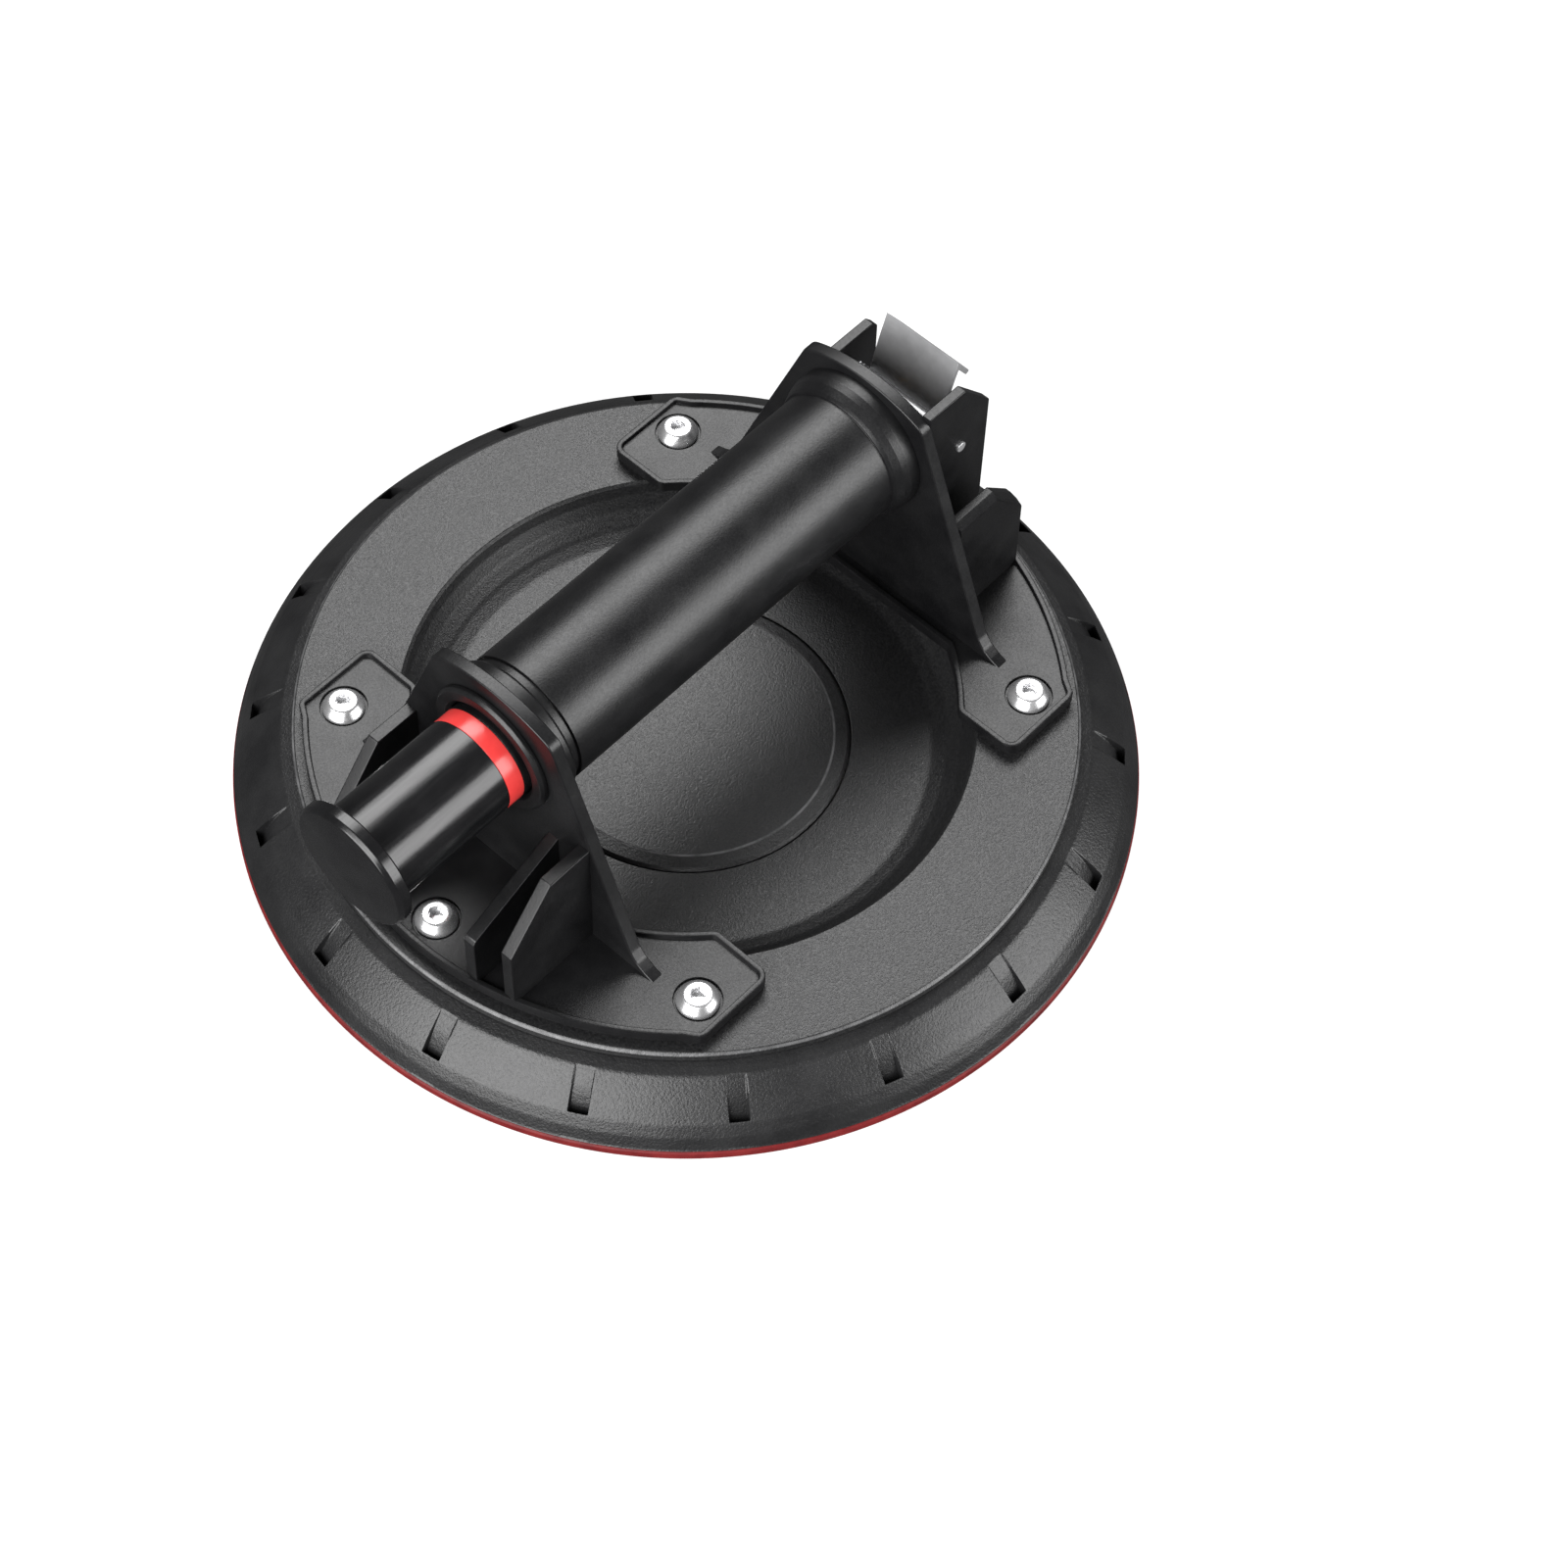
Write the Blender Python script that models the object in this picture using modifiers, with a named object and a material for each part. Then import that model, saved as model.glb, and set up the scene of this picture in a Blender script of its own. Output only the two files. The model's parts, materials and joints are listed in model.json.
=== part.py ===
"""Vacuum suction cup with a hand pump built into its grip.

A rubber pad carries a dished plate, a handle stands on the plate on two feet, and the
hollow grip is the pump's barrel. The plunger slides along X, the release lever turns on
a pin between two ears at the other end, and it pushes the release valve's stem.

Frame: origin at the centre of the pad, on the surface that the pad rests on; +Z up;
+X along the grip, towards the release lever. Sizes below are in millimetres, and the
helpers turn them into metres.
"""

import math

import bmesh
import bpy
from mathutils import Matrix, Vector

MM = 0.001

# Pad and plate
PAD_RADIUS = 101.5
NOTCHES = 18
NOTCH_HALF = 2.1
PLATE_RADIUS = 87.0
PLATE_TOP = 19.0
DISH_RADIUS = 64.1
DISH_FLOOR = 9.0
DISC_RADIUS = 36.2

# Handle: the grip's axis is level, and every foot, end plate and rib is drawn about it
AXIS_HEIGHT = 66.0
GRIP_RADIUS = 15.6
LEG_INNER = 53.7
LEG_OUTER = 56.7
FOOT_BOTTOM = 19.9
FOOT_TOP = 23.0
FOOT_FLOOR = 21.9
FOOT_ARC = 84.3
RIM_WIDTH = 1.3
RIB = 3.0
EAR = 2.4
FAR_GUSSET = 3.9
EAR_FACE = 14.6
RIB_FACE = 14.5
GUSSET_FACE = 23.6
SCREW_SEAT = 21.2
SCREW_HEAD = 4.75
SCREW_PLACES = [(76.7, 0.0), (53.0, 53.5), (53.0, -53.5), (-76.7, 0.0), (-53.0, 53.5), (-53.0, -53.5)]

# Pump, with its parts placed along X
BORE_RADIUS = 13.9
CYLINDER_OUTER = 13.75
CYLINDER_INNER = 12.8
PLUNGER_RADIUS = 11.4
MOUTH = -58.5
BAND_START = -63.5
BAND_WIDTH = 4.0
PISTON_FACE = -42.5
HEAD_FACE = 45.3
HEAD_END = 53.4

# Release valve, its lever, and the vacuum line
VALVE_Z = 57.0
PIN_X = 67.35
PIN_Z = 65.0
PIN_RADIUS = 1.3
LEVER_TILT = 17.0
LEVER_FLANGE_TILT = -55.0
LEVER_FLANGE = 7.0
LEVER_SHEET = 1.2
LEVER_HALF = 10.3
LINE_Y = 8.0
LINE_HEAD_Z = 59.7
PORT_X = 67.0

# Gap between pieces that touch in the real thing
GAP = 0.15

PUMP_CENTRE = (0.0, 0.0, AXIS_HEIGHT)

# Facets round a circle, and the turn of the first one
BIG_ROUND = 48
MID_ROUND = 28
SMALL_ROUND = 16
SEAM_ANGLE = 1.7


# Scene, collections and materials


def clear_scene():
    for obj in list(bpy.data.objects):
        bpy.data.objects.remove(obj, do_unlink=True)


def new_collection(name, hidden=False):
    collection = bpy.data.collections.new(name)
    bpy.context.scene.collection.children.link(collection)
    collection.hide_render = hidden
    return collection


def make_material(name, colour, roughness, metallic):
    material = bpy.data.materials.new(name)
    material.use_nodes = True
    shader = material.node_tree.nodes["Principled BSDF"]
    shader.inputs["Base Color"].default_value = (*colour, 1.0)
    shader.inputs["Roughness"].default_value = roughness
    shader.inputs["Metallic"].default_value = metallic
    material.diffuse_color = (*colour, 1.0)
    return material


clear_scene()
PARTS = new_collection("vacuum_suction_cup")
CUTTERS = new_collection("cutters", hidden=True)

FINISHES = {
    "pad_rubber": make_material("pad_rubber", (0.025, 0.025, 0.026), 0.62, 0.0),
    "red_rubber": make_material("red_rubber", (0.42, 0.03, 0.035), 0.5, 0.0),
    "plate_coat": make_material("plate_coat", (0.18, 0.18, 0.185), 0.45, 0.0),
    "handle_plastic": make_material("handle_plastic", (0.02, 0.02, 0.021), 0.42, 0.0),
    "gloss_plastic": make_material("gloss_plastic", (0.018, 0.018, 0.02), 0.16, 0.0),
    "red_band": make_material("red_band", (0.8, 0.035, 0.035), 0.2, 0.0),
    "chrome": make_material("chrome", (0.86, 0.86, 0.87), 0.1, 1.0),
    "lever_steel": make_material("lever_steel", (0.72, 0.72, 0.73), 0.22, 1.0),
    "spring_steel": make_material("spring_steel", (0.5, 0.5, 0.52), 0.3, 1.0),
    "aluminium": make_material("aluminium", (0.68, 0.69, 0.7), 0.35, 1.0),
    "brass": make_material("brass", (0.75, 0.56, 0.25), 0.3, 1.0),
    "seal_rubber": make_material("seal_rubber", (0.015, 0.015, 0.015), 0.7, 0.0),
    "filter_felt": make_material("filter_felt", (0.6, 0.58, 0.52), 0.9, 0.0),
}


# Shapes


def link_part(obj, finish):
    obj.data.materials.clear()
    obj.data.materials.append(FINISHES[finish])
    PARTS.objects.link(obj)
    return obj


def link_cutter(obj):
    obj.hide_render = True
    obj.display_type = "WIRE"
    CUTTERS.objects.link(obj)
    return obj


def smooth(obj, angle=35.0):
    obj.data.shade_smooth()
    obj.data.set_sharp_from_angle(angle=math.radians(angle))


def mesh_object(name, build):
    """A new mesh object whose mesh is filled by build(bm)."""
    mesh = bpy.data.meshes.new(name)
    bm = bmesh.new()
    build(bm)
    bm.to_mesh(mesh)
    bm.free()
    return bpy.data.objects.new(name, mesh)


def turned(name, profile, axis="Z", centre=(0.0, 0.0, 0.0), steps=MID_ROUND):
    """A turned solid from (radius, height) points that run down the outer side.

    A profile whose ends both lie on the axis is solid in the middle; any other is
    closed into a ring. Heights lie along Z, or along X or Y when axis says so. The
    facets start at a small angle, so that their edges don't lie on a plane of symmetry.
    """
    def build(bm):
        points = [bm.verts.new((r * MM, 0.0, h * MM)) for r, h in profile]
        for first, second in zip(points, points[1:]):
            bm.edges.new((first, second))
        if profile[0][0] > 0.0 or profile[-1][0] > 0.0:
            bm.edges.new((points[-1], points[0]))

    obj = mesh_object(name, build)
    screw = obj.modifiers.new("turn", "SCREW")
    screw.steps = steps
    screw.render_steps = steps
    screw.use_merge_vertices = True
    screw.merge_threshold = 0.00001
    screw.use_smooth_shade = True
    seam = Matrix.Rotation(math.radians(SEAM_ANGLE), 4, "Z")
    tips = {
        "Z": Matrix.Identity(4),
        "X": Matrix.Rotation(math.pi / 2.0, 4, "Y"),
        "Y": Matrix.Rotation(-math.pi / 2.0, 4, "X"),
    }
    obj.matrix_world = Matrix.Translation(Vector(centre) * MM) @ tips[axis] @ seam
    return obj


def ring(name, outer, inner, low, high, axis="Z", centre=(0.0, 0.0, 0.0), steps=MID_ROUND):
    """A turned ring of rectangular section."""
    profile = [(inner, high), (outer, high), (outer, low), (inner, low)]
    return turned(name, profile, axis, centre, steps)


def rod(name, radius, low, high, axis="Z", centre=(0.0, 0.0, 0.0), steps=SMALL_ROUND):
    """A turned solid cylinder."""
    profile = [(0.0, high), (radius, high), (radius, low), (0.0, low)]
    return turned(name, profile, axis, centre, steps)


def arc(centre, radius, start, end, count):
    """Points along an arc, with the angles in degrees."""
    angles = [math.radians(start + (end - start) * i / (count - 1)) for i in range(count)]
    return [(centre[0] + radius * math.cos(a), centre[1] + radius * math.sin(a)) for a in angles]


def extruded(name, outline, low, high, plane="XY"):
    """A flat outline made solid between two levels, as a mesh.

    plane "XY" extrudes along Z, "YZ" takes (y, z) points and extrudes along X, and
    "XZ" takes (x, z) points and extrudes along Y.
    """
    curve = bpy.data.curves.new(name, "CURVE")
    curve.dimensions = "2D"
    curve.fill_mode = "BOTH"
    curve.extrude = abs(high - low) / 2.0 * MM
    spline = curve.splines.new("POLY")
    spline.points.add(len(outline) - 1)
    for point, (u, v) in zip(spline.points, outline):
        point.co = (u * MM, v * MM, 0.0, 1.0)
    spline.use_cyclic_u = True
    guide = bpy.data.objects.new(name + "_guide", curve)
    turns = {
        "XY": Matrix(((1, 0, 0), (0, 1, 0), (0, 0, 1))),
        "YZ": Matrix(((0, 0, 1), (1, 0, 0), (0, 1, 0))),
        "XZ": Matrix(((1, 0, 0), (0, 0, -1), (0, 1, 0))),
    }
    along = {"XY": Vector((0, 0, 1)), "YZ": Vector((1, 0, 0)), "XZ": Vector((0, 1, 0))}
    place = Matrix.Translation(along[plane] * ((low + high) / 2.0 * MM))
    guide.matrix_world = place @ turns[plane].to_4x4()
    return meshed(guide, name)


def meshed(guide, name):
    """The curve object made a mesh object in the same place, with its caps welded."""
    CUTTERS.objects.link(guide)
    bpy.context.view_layer.update()
    graph = bpy.context.evaluated_depsgraph_get()
    mesh = bpy.data.meshes.new_from_object(guide.evaluated_get(graph))
    bm = bmesh.new()
    bm.from_mesh(mesh)
    bmesh.ops.remove_doubles(bm, verts=bm.verts, dist=0.000005)
    bmesh.ops.recalc_face_normals(bm, faces=bm.faces)
    bm.to_mesh(mesh)
    bm.free()
    obj = bpy.data.objects.new(name, mesh)
    obj.matrix_world = guide.matrix_world.copy()
    bpy.data.objects.remove(guide, do_unlink=True)
    return obj


def wire(name, points, radius, sides=2):
    """A round wire along the points."""
    curve = bpy.data.curves.new(name, "CURVE")
    curve.dimensions = "3D"
    curve.bevel_depth = radius * MM
    curve.bevel_resolution = sides
    curve.use_fill_caps = True
    spline = curve.splines.new("POLY")
    spline.points.add(len(points) - 1)
    for point, place in zip(spline.points, points):
        point.co = (*(Vector(place) * MM), 1.0)
    return bpy.data.objects.new(name, curve)


def coil(axis, centre, radius, start, end, turns, per_turn):
    """Points of a helix about an axis parallel to X or Y, at (y, z) or (x, z), between two levels."""
    count = int(turns * per_turn) + 1
    points = []
    for i in range(count):
        angle = 2.0 * math.pi * i / per_turn
        along = start + (end - start) * i / (count - 1)
        u, v = radius * math.cos(angle), radius * math.sin(angle)
        if axis == "X":
            points.append((along, centre[0] + u, centre[1] + v))
        else:
            points.append((centre[0] + u, along, centre[1] + v))
    return points


def combine(obj, others, operation):
    """Joins the other objects to obj, or cuts them from it."""
    for other in others:
        link_cutter(other)
        modifier = obj.modifiers.new(other.name, "BOOLEAN")
        modifier.operation = operation
        modifier.solver = "EXACT"
        modifier.object = other
    return obj


# The pad


def make_rubber_pad():
    """A disc of rubber under the plate, hollow below, with a rounded rim outside it."""
    profile = [
        (0.0, 6.0), (55.9, 6.0), (64.3, 12.2), (83.75, 12.2), (84.2, 16.35), (86.9, 16.35),
        (89.0, 15.6), (91.5, 13.7), (94.0, 11.3), (96.5, 8.6), (98.5, 6.0), (100.2, 4.2),
        (101.0, 3.3), (101.2, 2.95), (93.75, 2.95), (93.75, 1.55), (92.5, 1.55), (90.0, 2.6),
        (60.0, 3.6), (0.0, 3.6),
    ]
    pad = turned("rubber_pad", profile, steps=BIG_ROUND)
    link_part(pad, "pad_rubber")
    cuts = []
    scoop = [(90.2, 14.9), (93.0, 12.1), (95.4, 8.6), (96.8, 5.6), (97.5, 4.2)]
    outline = [(90.2, 16.5)] + scoop + [(97.5, 16.5)]
    for i in range(NOTCHES):
        cut = extruded(f"notch_{i}", outline, -NOTCH_HALF, NOTCH_HALF, plane="XZ")
        angle = math.radians(10.0 + i * 360.0 / NOTCHES)
        cut.matrix_world = Matrix.Rotation(angle, 4, "Z") @ cut.matrix_world
        cuts.append(cut)
    port = (PORT_X, LINE_Y, 0.0)
    cuts.append(rod("pad_port", 2.7, 2.0, 14.0, centre=port))
    cuts.append(rod("pad_filter_seat", 5.0, 1.0, 6.3, centre=port))
    return combine(pad, cuts, "DIFFERENCE")


def make_sealing_ring():
    """The soft red edge that seals on the glass."""
    profile = [
        (94.0, 2.7), (PAD_RADIUS - 0.4, 2.7), (PAD_RADIUS, 2.2), (PAD_RADIUS, 0.5), (PAD_RADIUS - 0.3, 0.0),
        (94.0, 0.0),
    ]
    return link_part(turned("sealing_ring", profile, steps=BIG_ROUND), "red_rubber")


# The plate


def make_base_plate():
    """A dished plate: a flat rim, a curved wall and a lower floor."""
    profile = [
        (0.0, 7.6), (DISC_RADIUS + 2 * GAP, 7.6), (DISC_RADIUS + 2 * GAP, DISH_FLOOR),
        (54.5, DISH_FLOOR), (58.2, 10.2), (61.0, 12.8), (62.8, 16.0), (63.5, 18.4),
        (DISH_RADIUS, PLATE_TOP), (PLATE_RADIUS - 0.8, PLATE_TOP), (PLATE_RADIUS, PLATE_TOP - 0.8),
        (PLATE_RADIUS, 16.6), (83.95, 16.6), (83.5, 12.4), (64.5, 12.4), (56.0, 6.2), (0.0, 6.2),
    ]
    plate = turned("base_plate", profile, steps=BIG_ROUND)
    link_part(plate, "plate_coat")
    cuts = [
        rod(f"plate_insert_hole_{i}", 3.7, 11.0, 21.0, centre=(x, y, 0.0))
        for i, (x, y) in enumerate(SCREW_PLACES)
    ]
    cuts.append(rod("plate_port", 2.7, 11.0, 21.0, centre=(PORT_X, LINE_Y, 0.0)))
    return combine(plate, cuts, "DIFFERENCE")


def make_centre_disc():
    """The disc that closes the dish's floor, with a shallow bevel round its top."""
    profile = [
        (0.0, 10.1), (32.4, 10.1), (33.0, 9.9), (35.6, 9.5),
        (DISC_RADIUS, 8.8), (DISC_RADIUS, 7.8), (0.0, 7.8),
    ]
    return link_part(turned("centre_disc", profile, steps=BIG_ROUND), "plate_coat")


def make_foot_gasket(side):
    """A thin sheet under one foot, with holes for its screws and for the port."""
    name = "foot_gasket_far" if side > 0 else "foot_gasket_near"
    gasket = extruded(name, foot_outline(side, inset=0.8), PLATE_TOP + GAP, FOOT_BOTTOM - GAP)
    link_part(gasket, "seal_rubber")
    places = [place for place in SCREW_PLACES if place[0] * side > 0]
    cuts = [
        rod(f"{name}_hole_{i}", 4.0, 17.0, 22.0, centre=(x, y, 0.0))
        for i, (x, y) in enumerate(places)
    ]
    if side > 0:
        cuts.append(rod("gasket_port", 2.9, 17.0, 22.0, centre=(PORT_X, LINE_Y, 0.0)))
    return combine(gasket, cuts, "DIFFERENCE")


# The handle


def foot_outline(side, inset=0.0):
    """The outline of a foot, drawn in the +X half and turned round for the other side."""
    outer = FOOT_ARC - inset
    edge = 61.0 - inset
    back = 38.6 + inset
    inner_arc = 59.5 + inset
    straight = 50.3 + inset
    reach = math.degrees(math.asin(57.4 / FOOT_ARC))
    start = math.degrees(math.acos(straight / inner_arc))
    end = math.degrees(math.asin(43.6 / 59.5))
    half = arc((0.0, 0.0), outer, 0.0, reach, 9)
    half += arc((58.0 - inset * 0.4, edge - 3.0), 3.0, 50.0, 90.0, 3)
    half += arc((back + 3.0, edge - 3.0), 3.0, 90.0, 180.0, 4)
    half += [(back, 46.0)]
    half += arc((0.0, 0.0), inner_arc, end, start, 5)
    mirrored = [(x, -y) for x, y in reversed(half[1:])]
    outline = half + mirrored
    return [(side * x, side * y) for x, y in outline]


def leg_outline():
    """An end plate's outline in (y, z): narrow at the grip, wide at the foot."""
    top = arc((0.0, 46.5), 39.0, 90.0, 69.0, 5)
    side = [(16.1, 82.0), (17.05, 80.9), (17.6, 79.1), (37.6, 26.6)]
    flare = [(39.3, 24.2), (41.5, 22.9), (44.0, 22.2), (44.0, FOOT_BOTTOM)]
    half = top + side + flare
    return half + [(-y, z) for y, z in reversed(half[1:])]


def grip_solid():
    """The grip's outside, with a grooved collar at one end and a flared one at the other."""
    middle = (LEG_INNER + LEG_OUTER) / 2.0
    profile = [
        (0.0, middle), (17.6, middle), (17.6, 50.9), (17.2, 49.2), (16.5, 47.4), (16.1, 46.7),
        (GRIP_RADIUS, 46.6), (GRIP_RADIUS, -47.3), (14.95, -47.5), (14.95, -49.5), (16.2, -49.6),
        (16.6, -50.2), (16.6, -middle), (0.0, -middle),
    ]
    return turned("handle_grip", profile, "X", PUMP_CENTRE, MID_ROUND)


def rib_shapes(side):
    """Each rib on one side: its (x, z) outline, and its two faces' distances from the middle, signed."""
    root = side * (LEG_OUTER - 0.4)
    low = FOOT_BOTTOM
    if side < 0:
        web = [(root, 49.3), (-81.2, 37.9), (-81.9, 36.9), (-81.9, low), (root, low)]
        gusset = [(root, 54.5), (-67.8, 54.5), (-80.0, 39.6), (-80.0, low), (root, low)]
        shapes = [(web, RIB_FACE, RIB_FACE + RIB), (gusset, GUSSET_FACE, GUSSET_FACE + RIB)]
        return shapes + [(outline, -start, -end) for outline, start, end in shapes]
    tall = [(root, 83.3), (67.6, 83.3), (76.3, 73.1), (76.6, low), (root, low)]
    short = [(root, 74.0), (74.0, 74.0), (75.6, 72.2), (75.8, low), (root, low)]
    gusset = [(root, 54.5), (69.6, 54.5), (76.6, 47.6), (79.1, 43.1), (79.6, low), (root, low)]
    return [
        (tall, -EAR_FACE, -EAR_FACE - EAR), (short, EAR_FACE, EAR_FACE + EAR),
        (gusset, -GUSSET_FACE, -GUSSET_FACE - FAR_GUSSET), (gusset, GUSSET_FACE, GUSSET_FACE + FAR_GUSSET),
    ]


def make_handle():
    """Grip, end plates, feet and ribs in one moulding, with the pump's bore inside."""
    handle = grip_solid()
    handle.name = "handle"
    link_part(handle, "handle_plastic")
    joined = []
    cut = []
    for side in (-1, 1):
        end = "far" if side > 0 else "near"
        low, high = sorted((side * LEG_INNER, side * LEG_OUTER))
        joined.append(extruded(f"handle_leg_{end}", leg_outline(), low, high, plane="YZ"))
        foot = extruded(f"handle_foot_{end}", foot_outline(side), FOOT_BOTTOM + 0.05, FOOT_TOP)
        pocket = extruded(f"foot_pocket_{end}", foot_outline(side, RIM_WIDTH), FOOT_FLOOR, FOOT_TOP + 2.0)
        joined.append(combine(foot, [pocket], "DIFFERENCE"))
        for number, (outline, start, stop) in enumerate(rib_shapes(side)):
            span = sorted((start, stop))
            joined.append(extruded(f"handle_rib_{end}_{number}", outline, *span, plane="XZ"))
    combine(handle, joined, "UNION")

    cut.append(rod("handle_bore", BORE_RADIUS, -60.0, HEAD_END + GAP, "X", PUMP_CENTRE, MID_ROUND))
    for i, (x, y) in enumerate(SCREW_PLACES):
        cut.append(rod(f"screw_pocket_{i}", 5.2, SCREW_SEAT, FOOT_TOP + 4.0, centre=(x, y, 0.0)))
        cut.append(rod(f"screw_hole_{i}", 2.8, 18.0, 24.0, centre=(x, y, 0.0)))
    cut.append(rod("pin_hole", PIN_RADIUS + GAP, -25.0, 25.0, "Y", (PIN_X, 0.0, PIN_Z)))
    cut.append(rod("guide_hole", 2.85, 50.0, 60.0, "X", (0.0, 0.0, VALVE_Z)))
    cut.append(rod("line_hole", 2.0, 50.0, 60.0, "X", (0.0, LINE_Y, LINE_HEAD_Z)))
    cut.append(rod("port_hole", 2.7, 18.0, 24.0, centre=(PORT_X, LINE_Y, 0.0)))
    return combine(handle, cut, "DIFFERENCE")


# Fasteners


def make_screw(number, x, y):
    """A button-head socket screw."""
    seat = SCREW_SEAT + GAP
    profile = [
        (0.0, seat + 2.7), (2.9, seat + 2.7), (4.1, seat + 2.0), (SCREW_HEAD, seat + 0.9), (SCREW_HEAD, seat),
    ]
    profile += [(2.45, seat), (2.45, 13.2), (0.0, 13.2)]
    screw = turned(f"handle_screw_{number}", profile, centre=(x, y, 0.0), steps=SMALL_ROUND)
    link_part(screw, "chrome")

    def build(bm):
        radius = 1.73 * MM
        bmesh.ops.create_cone(bm, cap_ends=True, segments=6, radius1=radius, radius2=radius, depth=4.0 * MM)

    socket = mesh_object(f"hex_socket_{number}", build)
    socket.location = Vector((x, y, seat + 2.9)) * MM
    return combine(screw, [socket], "DIFFERENCE")


def make_insert(number, x, y):
    """The threaded insert that a screw goes into."""
    insert = ring(f"screw_insert_{number}", 3.55, 2.6, 12.6, 18.8, centre=(x, y, 0.0), steps=SMALL_ROUND)
    return link_part(insert, "brass")


# The pump


def make_pump_body():
    """The fixed parts in the bore: mouth collar, wiper, cylinder, and the head with its seal."""
    shoulder = -(LEG_OUTER + GAP)
    collar_profile = [
        (11.75, -54.2), (CYLINDER_OUTER, -54.2), (CYLINDER_OUTER, shoulder), (15.5, shoulder),
        (15.5, MOUTH + 0.6), (15.0, MOUTH), (12.5, MOUTH), (11.75, MOUTH + 0.9),
    ]
    link_part(turned("mouth_collar", collar_profile, "X", PUMP_CENTRE, MID_ROUND), "handle_plastic")
    wiper_profile = [
        (12.0, -50.6), (CYLINDER_OUTER, -50.6), (CYLINDER_OUTER, -54.0), (11.6, -54.0), (11.55, -53.2),
        (12.0, -52.6),
    ]
    link_part(turned("wiper_seal", wiper_profile, "X", PUMP_CENTRE), "seal_rubber")
    cylinder = ring("pump_cylinder", CYLINDER_OUTER, CYLINDER_INNER, -50.35, 45.1, "X", PUMP_CENTRE)
    link_part(cylinder, "aluminium")

    head_profile = [
        (0.0, HEAD_END), (13.6, HEAD_END), (13.6, 51.4), (12.7, 51.4), (12.7, 49.6), (13.6, 49.6),
        (13.6, HEAD_FACE), (0.0, HEAD_FACE),
    ]
    head = link_part(turned("cylinder_head", head_profile, "X", PUMP_CENTRE), "aluminium")
    cuts = [
        rod("head_chamber", 5.2, 40.0, 50.3, "X", PUMP_CENTRE),
        rod("head_seat_hole", 2.0, 41.0, 56.0, "X", PUMP_CENTRE),
        rod("head_valve_hole", 2.9, 42.0, 57.0, "X", (0.0, 0.0, VALVE_Z)),
        rod("head_line_hole", 2.0, 46.5, 58.0, "X", (0.0, LINE_Y, LINE_HEAD_Z)),
    ]
    combine(head, cuts, "DIFFERENCE")
    link_part(ring("head_seal", CYLINDER_OUTER, 12.85, 49.8, 51.2, "X", PUMP_CENTRE), "seal_rubber")


def make_check_valve():
    """A spring-loaded disc that lets air into the cylinder only."""
    link_part(rod("check_valve_disc", 4.2, 48.7, 50.1, "X", PUMP_CENTRE), "seal_rubber")
    link_part(ring("check_valve_ring", 5.0, 3.0, 45.5, 46.5, "X", PUMP_CENTRE, steps=SMALL_ROUND), "brass")
    points = coil("X", (0.0, AXIS_HEIGHT), 3.6, 47.0, 48.2, 1.5, 8)
    link_part(wire("check_valve_spring", points, 0.3), "spring_steel")


def make_plunger():
    """Tube, warning band, thumb cap, piston and lip seal; they slide together along X."""
    band_end = BAND_START + BAND_WIDTH
    tube_profile = [
        (9.4, -50.5), (PLUNGER_RADIUS, -50.5), (PLUNGER_RADIUS, band_end + 0.1), (10.9, band_end + 0.1),
        (10.9, BAND_START - 0.1), (PLUNGER_RADIUS, BAND_START - 0.1), (PLUNGER_RADIUS, -93.5), (9.4, -93.5),
    ]
    link_part(turned("plunger_tube", tube_profile, "X", PUMP_CENTRE, MID_ROUND), "gloss_plastic")
    band = ring("red_band", PLUNGER_RADIUS, 11.0, BAND_START, band_end, "X", PUMP_CENTRE)
    link_part(band, "red_band")
    cap_profile = [
        (0.0, -86.0), (9.2, -86.0), (9.2, -93.7), (14.4, -93.7), (14.8, -94.1), (14.8, -96.1), (14.5, -96.9),
        (13.6, -97.3), (7.0, -97.6), (0.0, -97.7),
    ]
    link_part(turned("thumb_cap", cap_profile, "X", PUMP_CENTRE, MID_ROUND), "gloss_plastic")
    piston_profile = [
        (0.0, PISTON_FACE), (12.3, PISTON_FACE), (12.3, -44.6), (11.2, -44.6), (11.2, -47.2),
        (12.3, -47.2), (12.3, -50.3), (9.2, -50.3), (9.2, -57.0), (0.0, -57.0),
    ]
    link_part(turned("piston_head", piston_profile, "X", PUMP_CENTRE), "aluminium")
    link_part(ring("piston_seal", 12.65, 11.35, -47.05, -44.75, "X", PUMP_CENTRE), "seal_rubber")


def make_return_spring():
    """The spring between the piston and the cylinder head, which pushes the plunger out."""
    points = coil("X", (0.0, AXIS_HEIGHT), 9.0, PISTON_FACE + 1.0, HEAD_FACE - 1.0, 8, 8)
    return link_part(wire("return_spring", points, 0.7), "spring_steel")


# The release valve and its lever


def make_release_valve():
    """A stem in a guide: the lever pushes it in, its seal leaves the head, and air gets in."""
    centre = (0.0, 0.0, VALVE_Z)
    guide_profile = [(1.7, 58.2), (4.0, 58.2), (4.0, 56.85), (2.7, 56.85), (2.7, 52.0), (1.7, 52.0)]
    link_part(turned("valve_guide", guide_profile, "X", centre, SMALL_ROUND), "brass")
    stem_profile = [
        (0.0, 65.5), (0.7, 65.5), (1.5, 64.9), (1.5, 64.5), (2.7, 64.5), (2.7, 63.7), (1.5, 63.7),
        (1.5, 51.0), (2.4, 51.0), (2.4, 50.0), (0.0, 50.0),
    ]
    link_part(turned("valve_stem", stem_profile, "X", centre, SMALL_ROUND), "lever_steel")
    link_part(ring("valve_seal", 2.5, 1.65, 51.15, 51.85, "X", centre, SMALL_ROUND), "seal_rubber")
    points = coil("X", (0.0, VALVE_Z), 2.3, 58.6, 63.3, 3, 8)
    link_part(wire("valve_spring", points, 0.25), "spring_steel")


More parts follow.
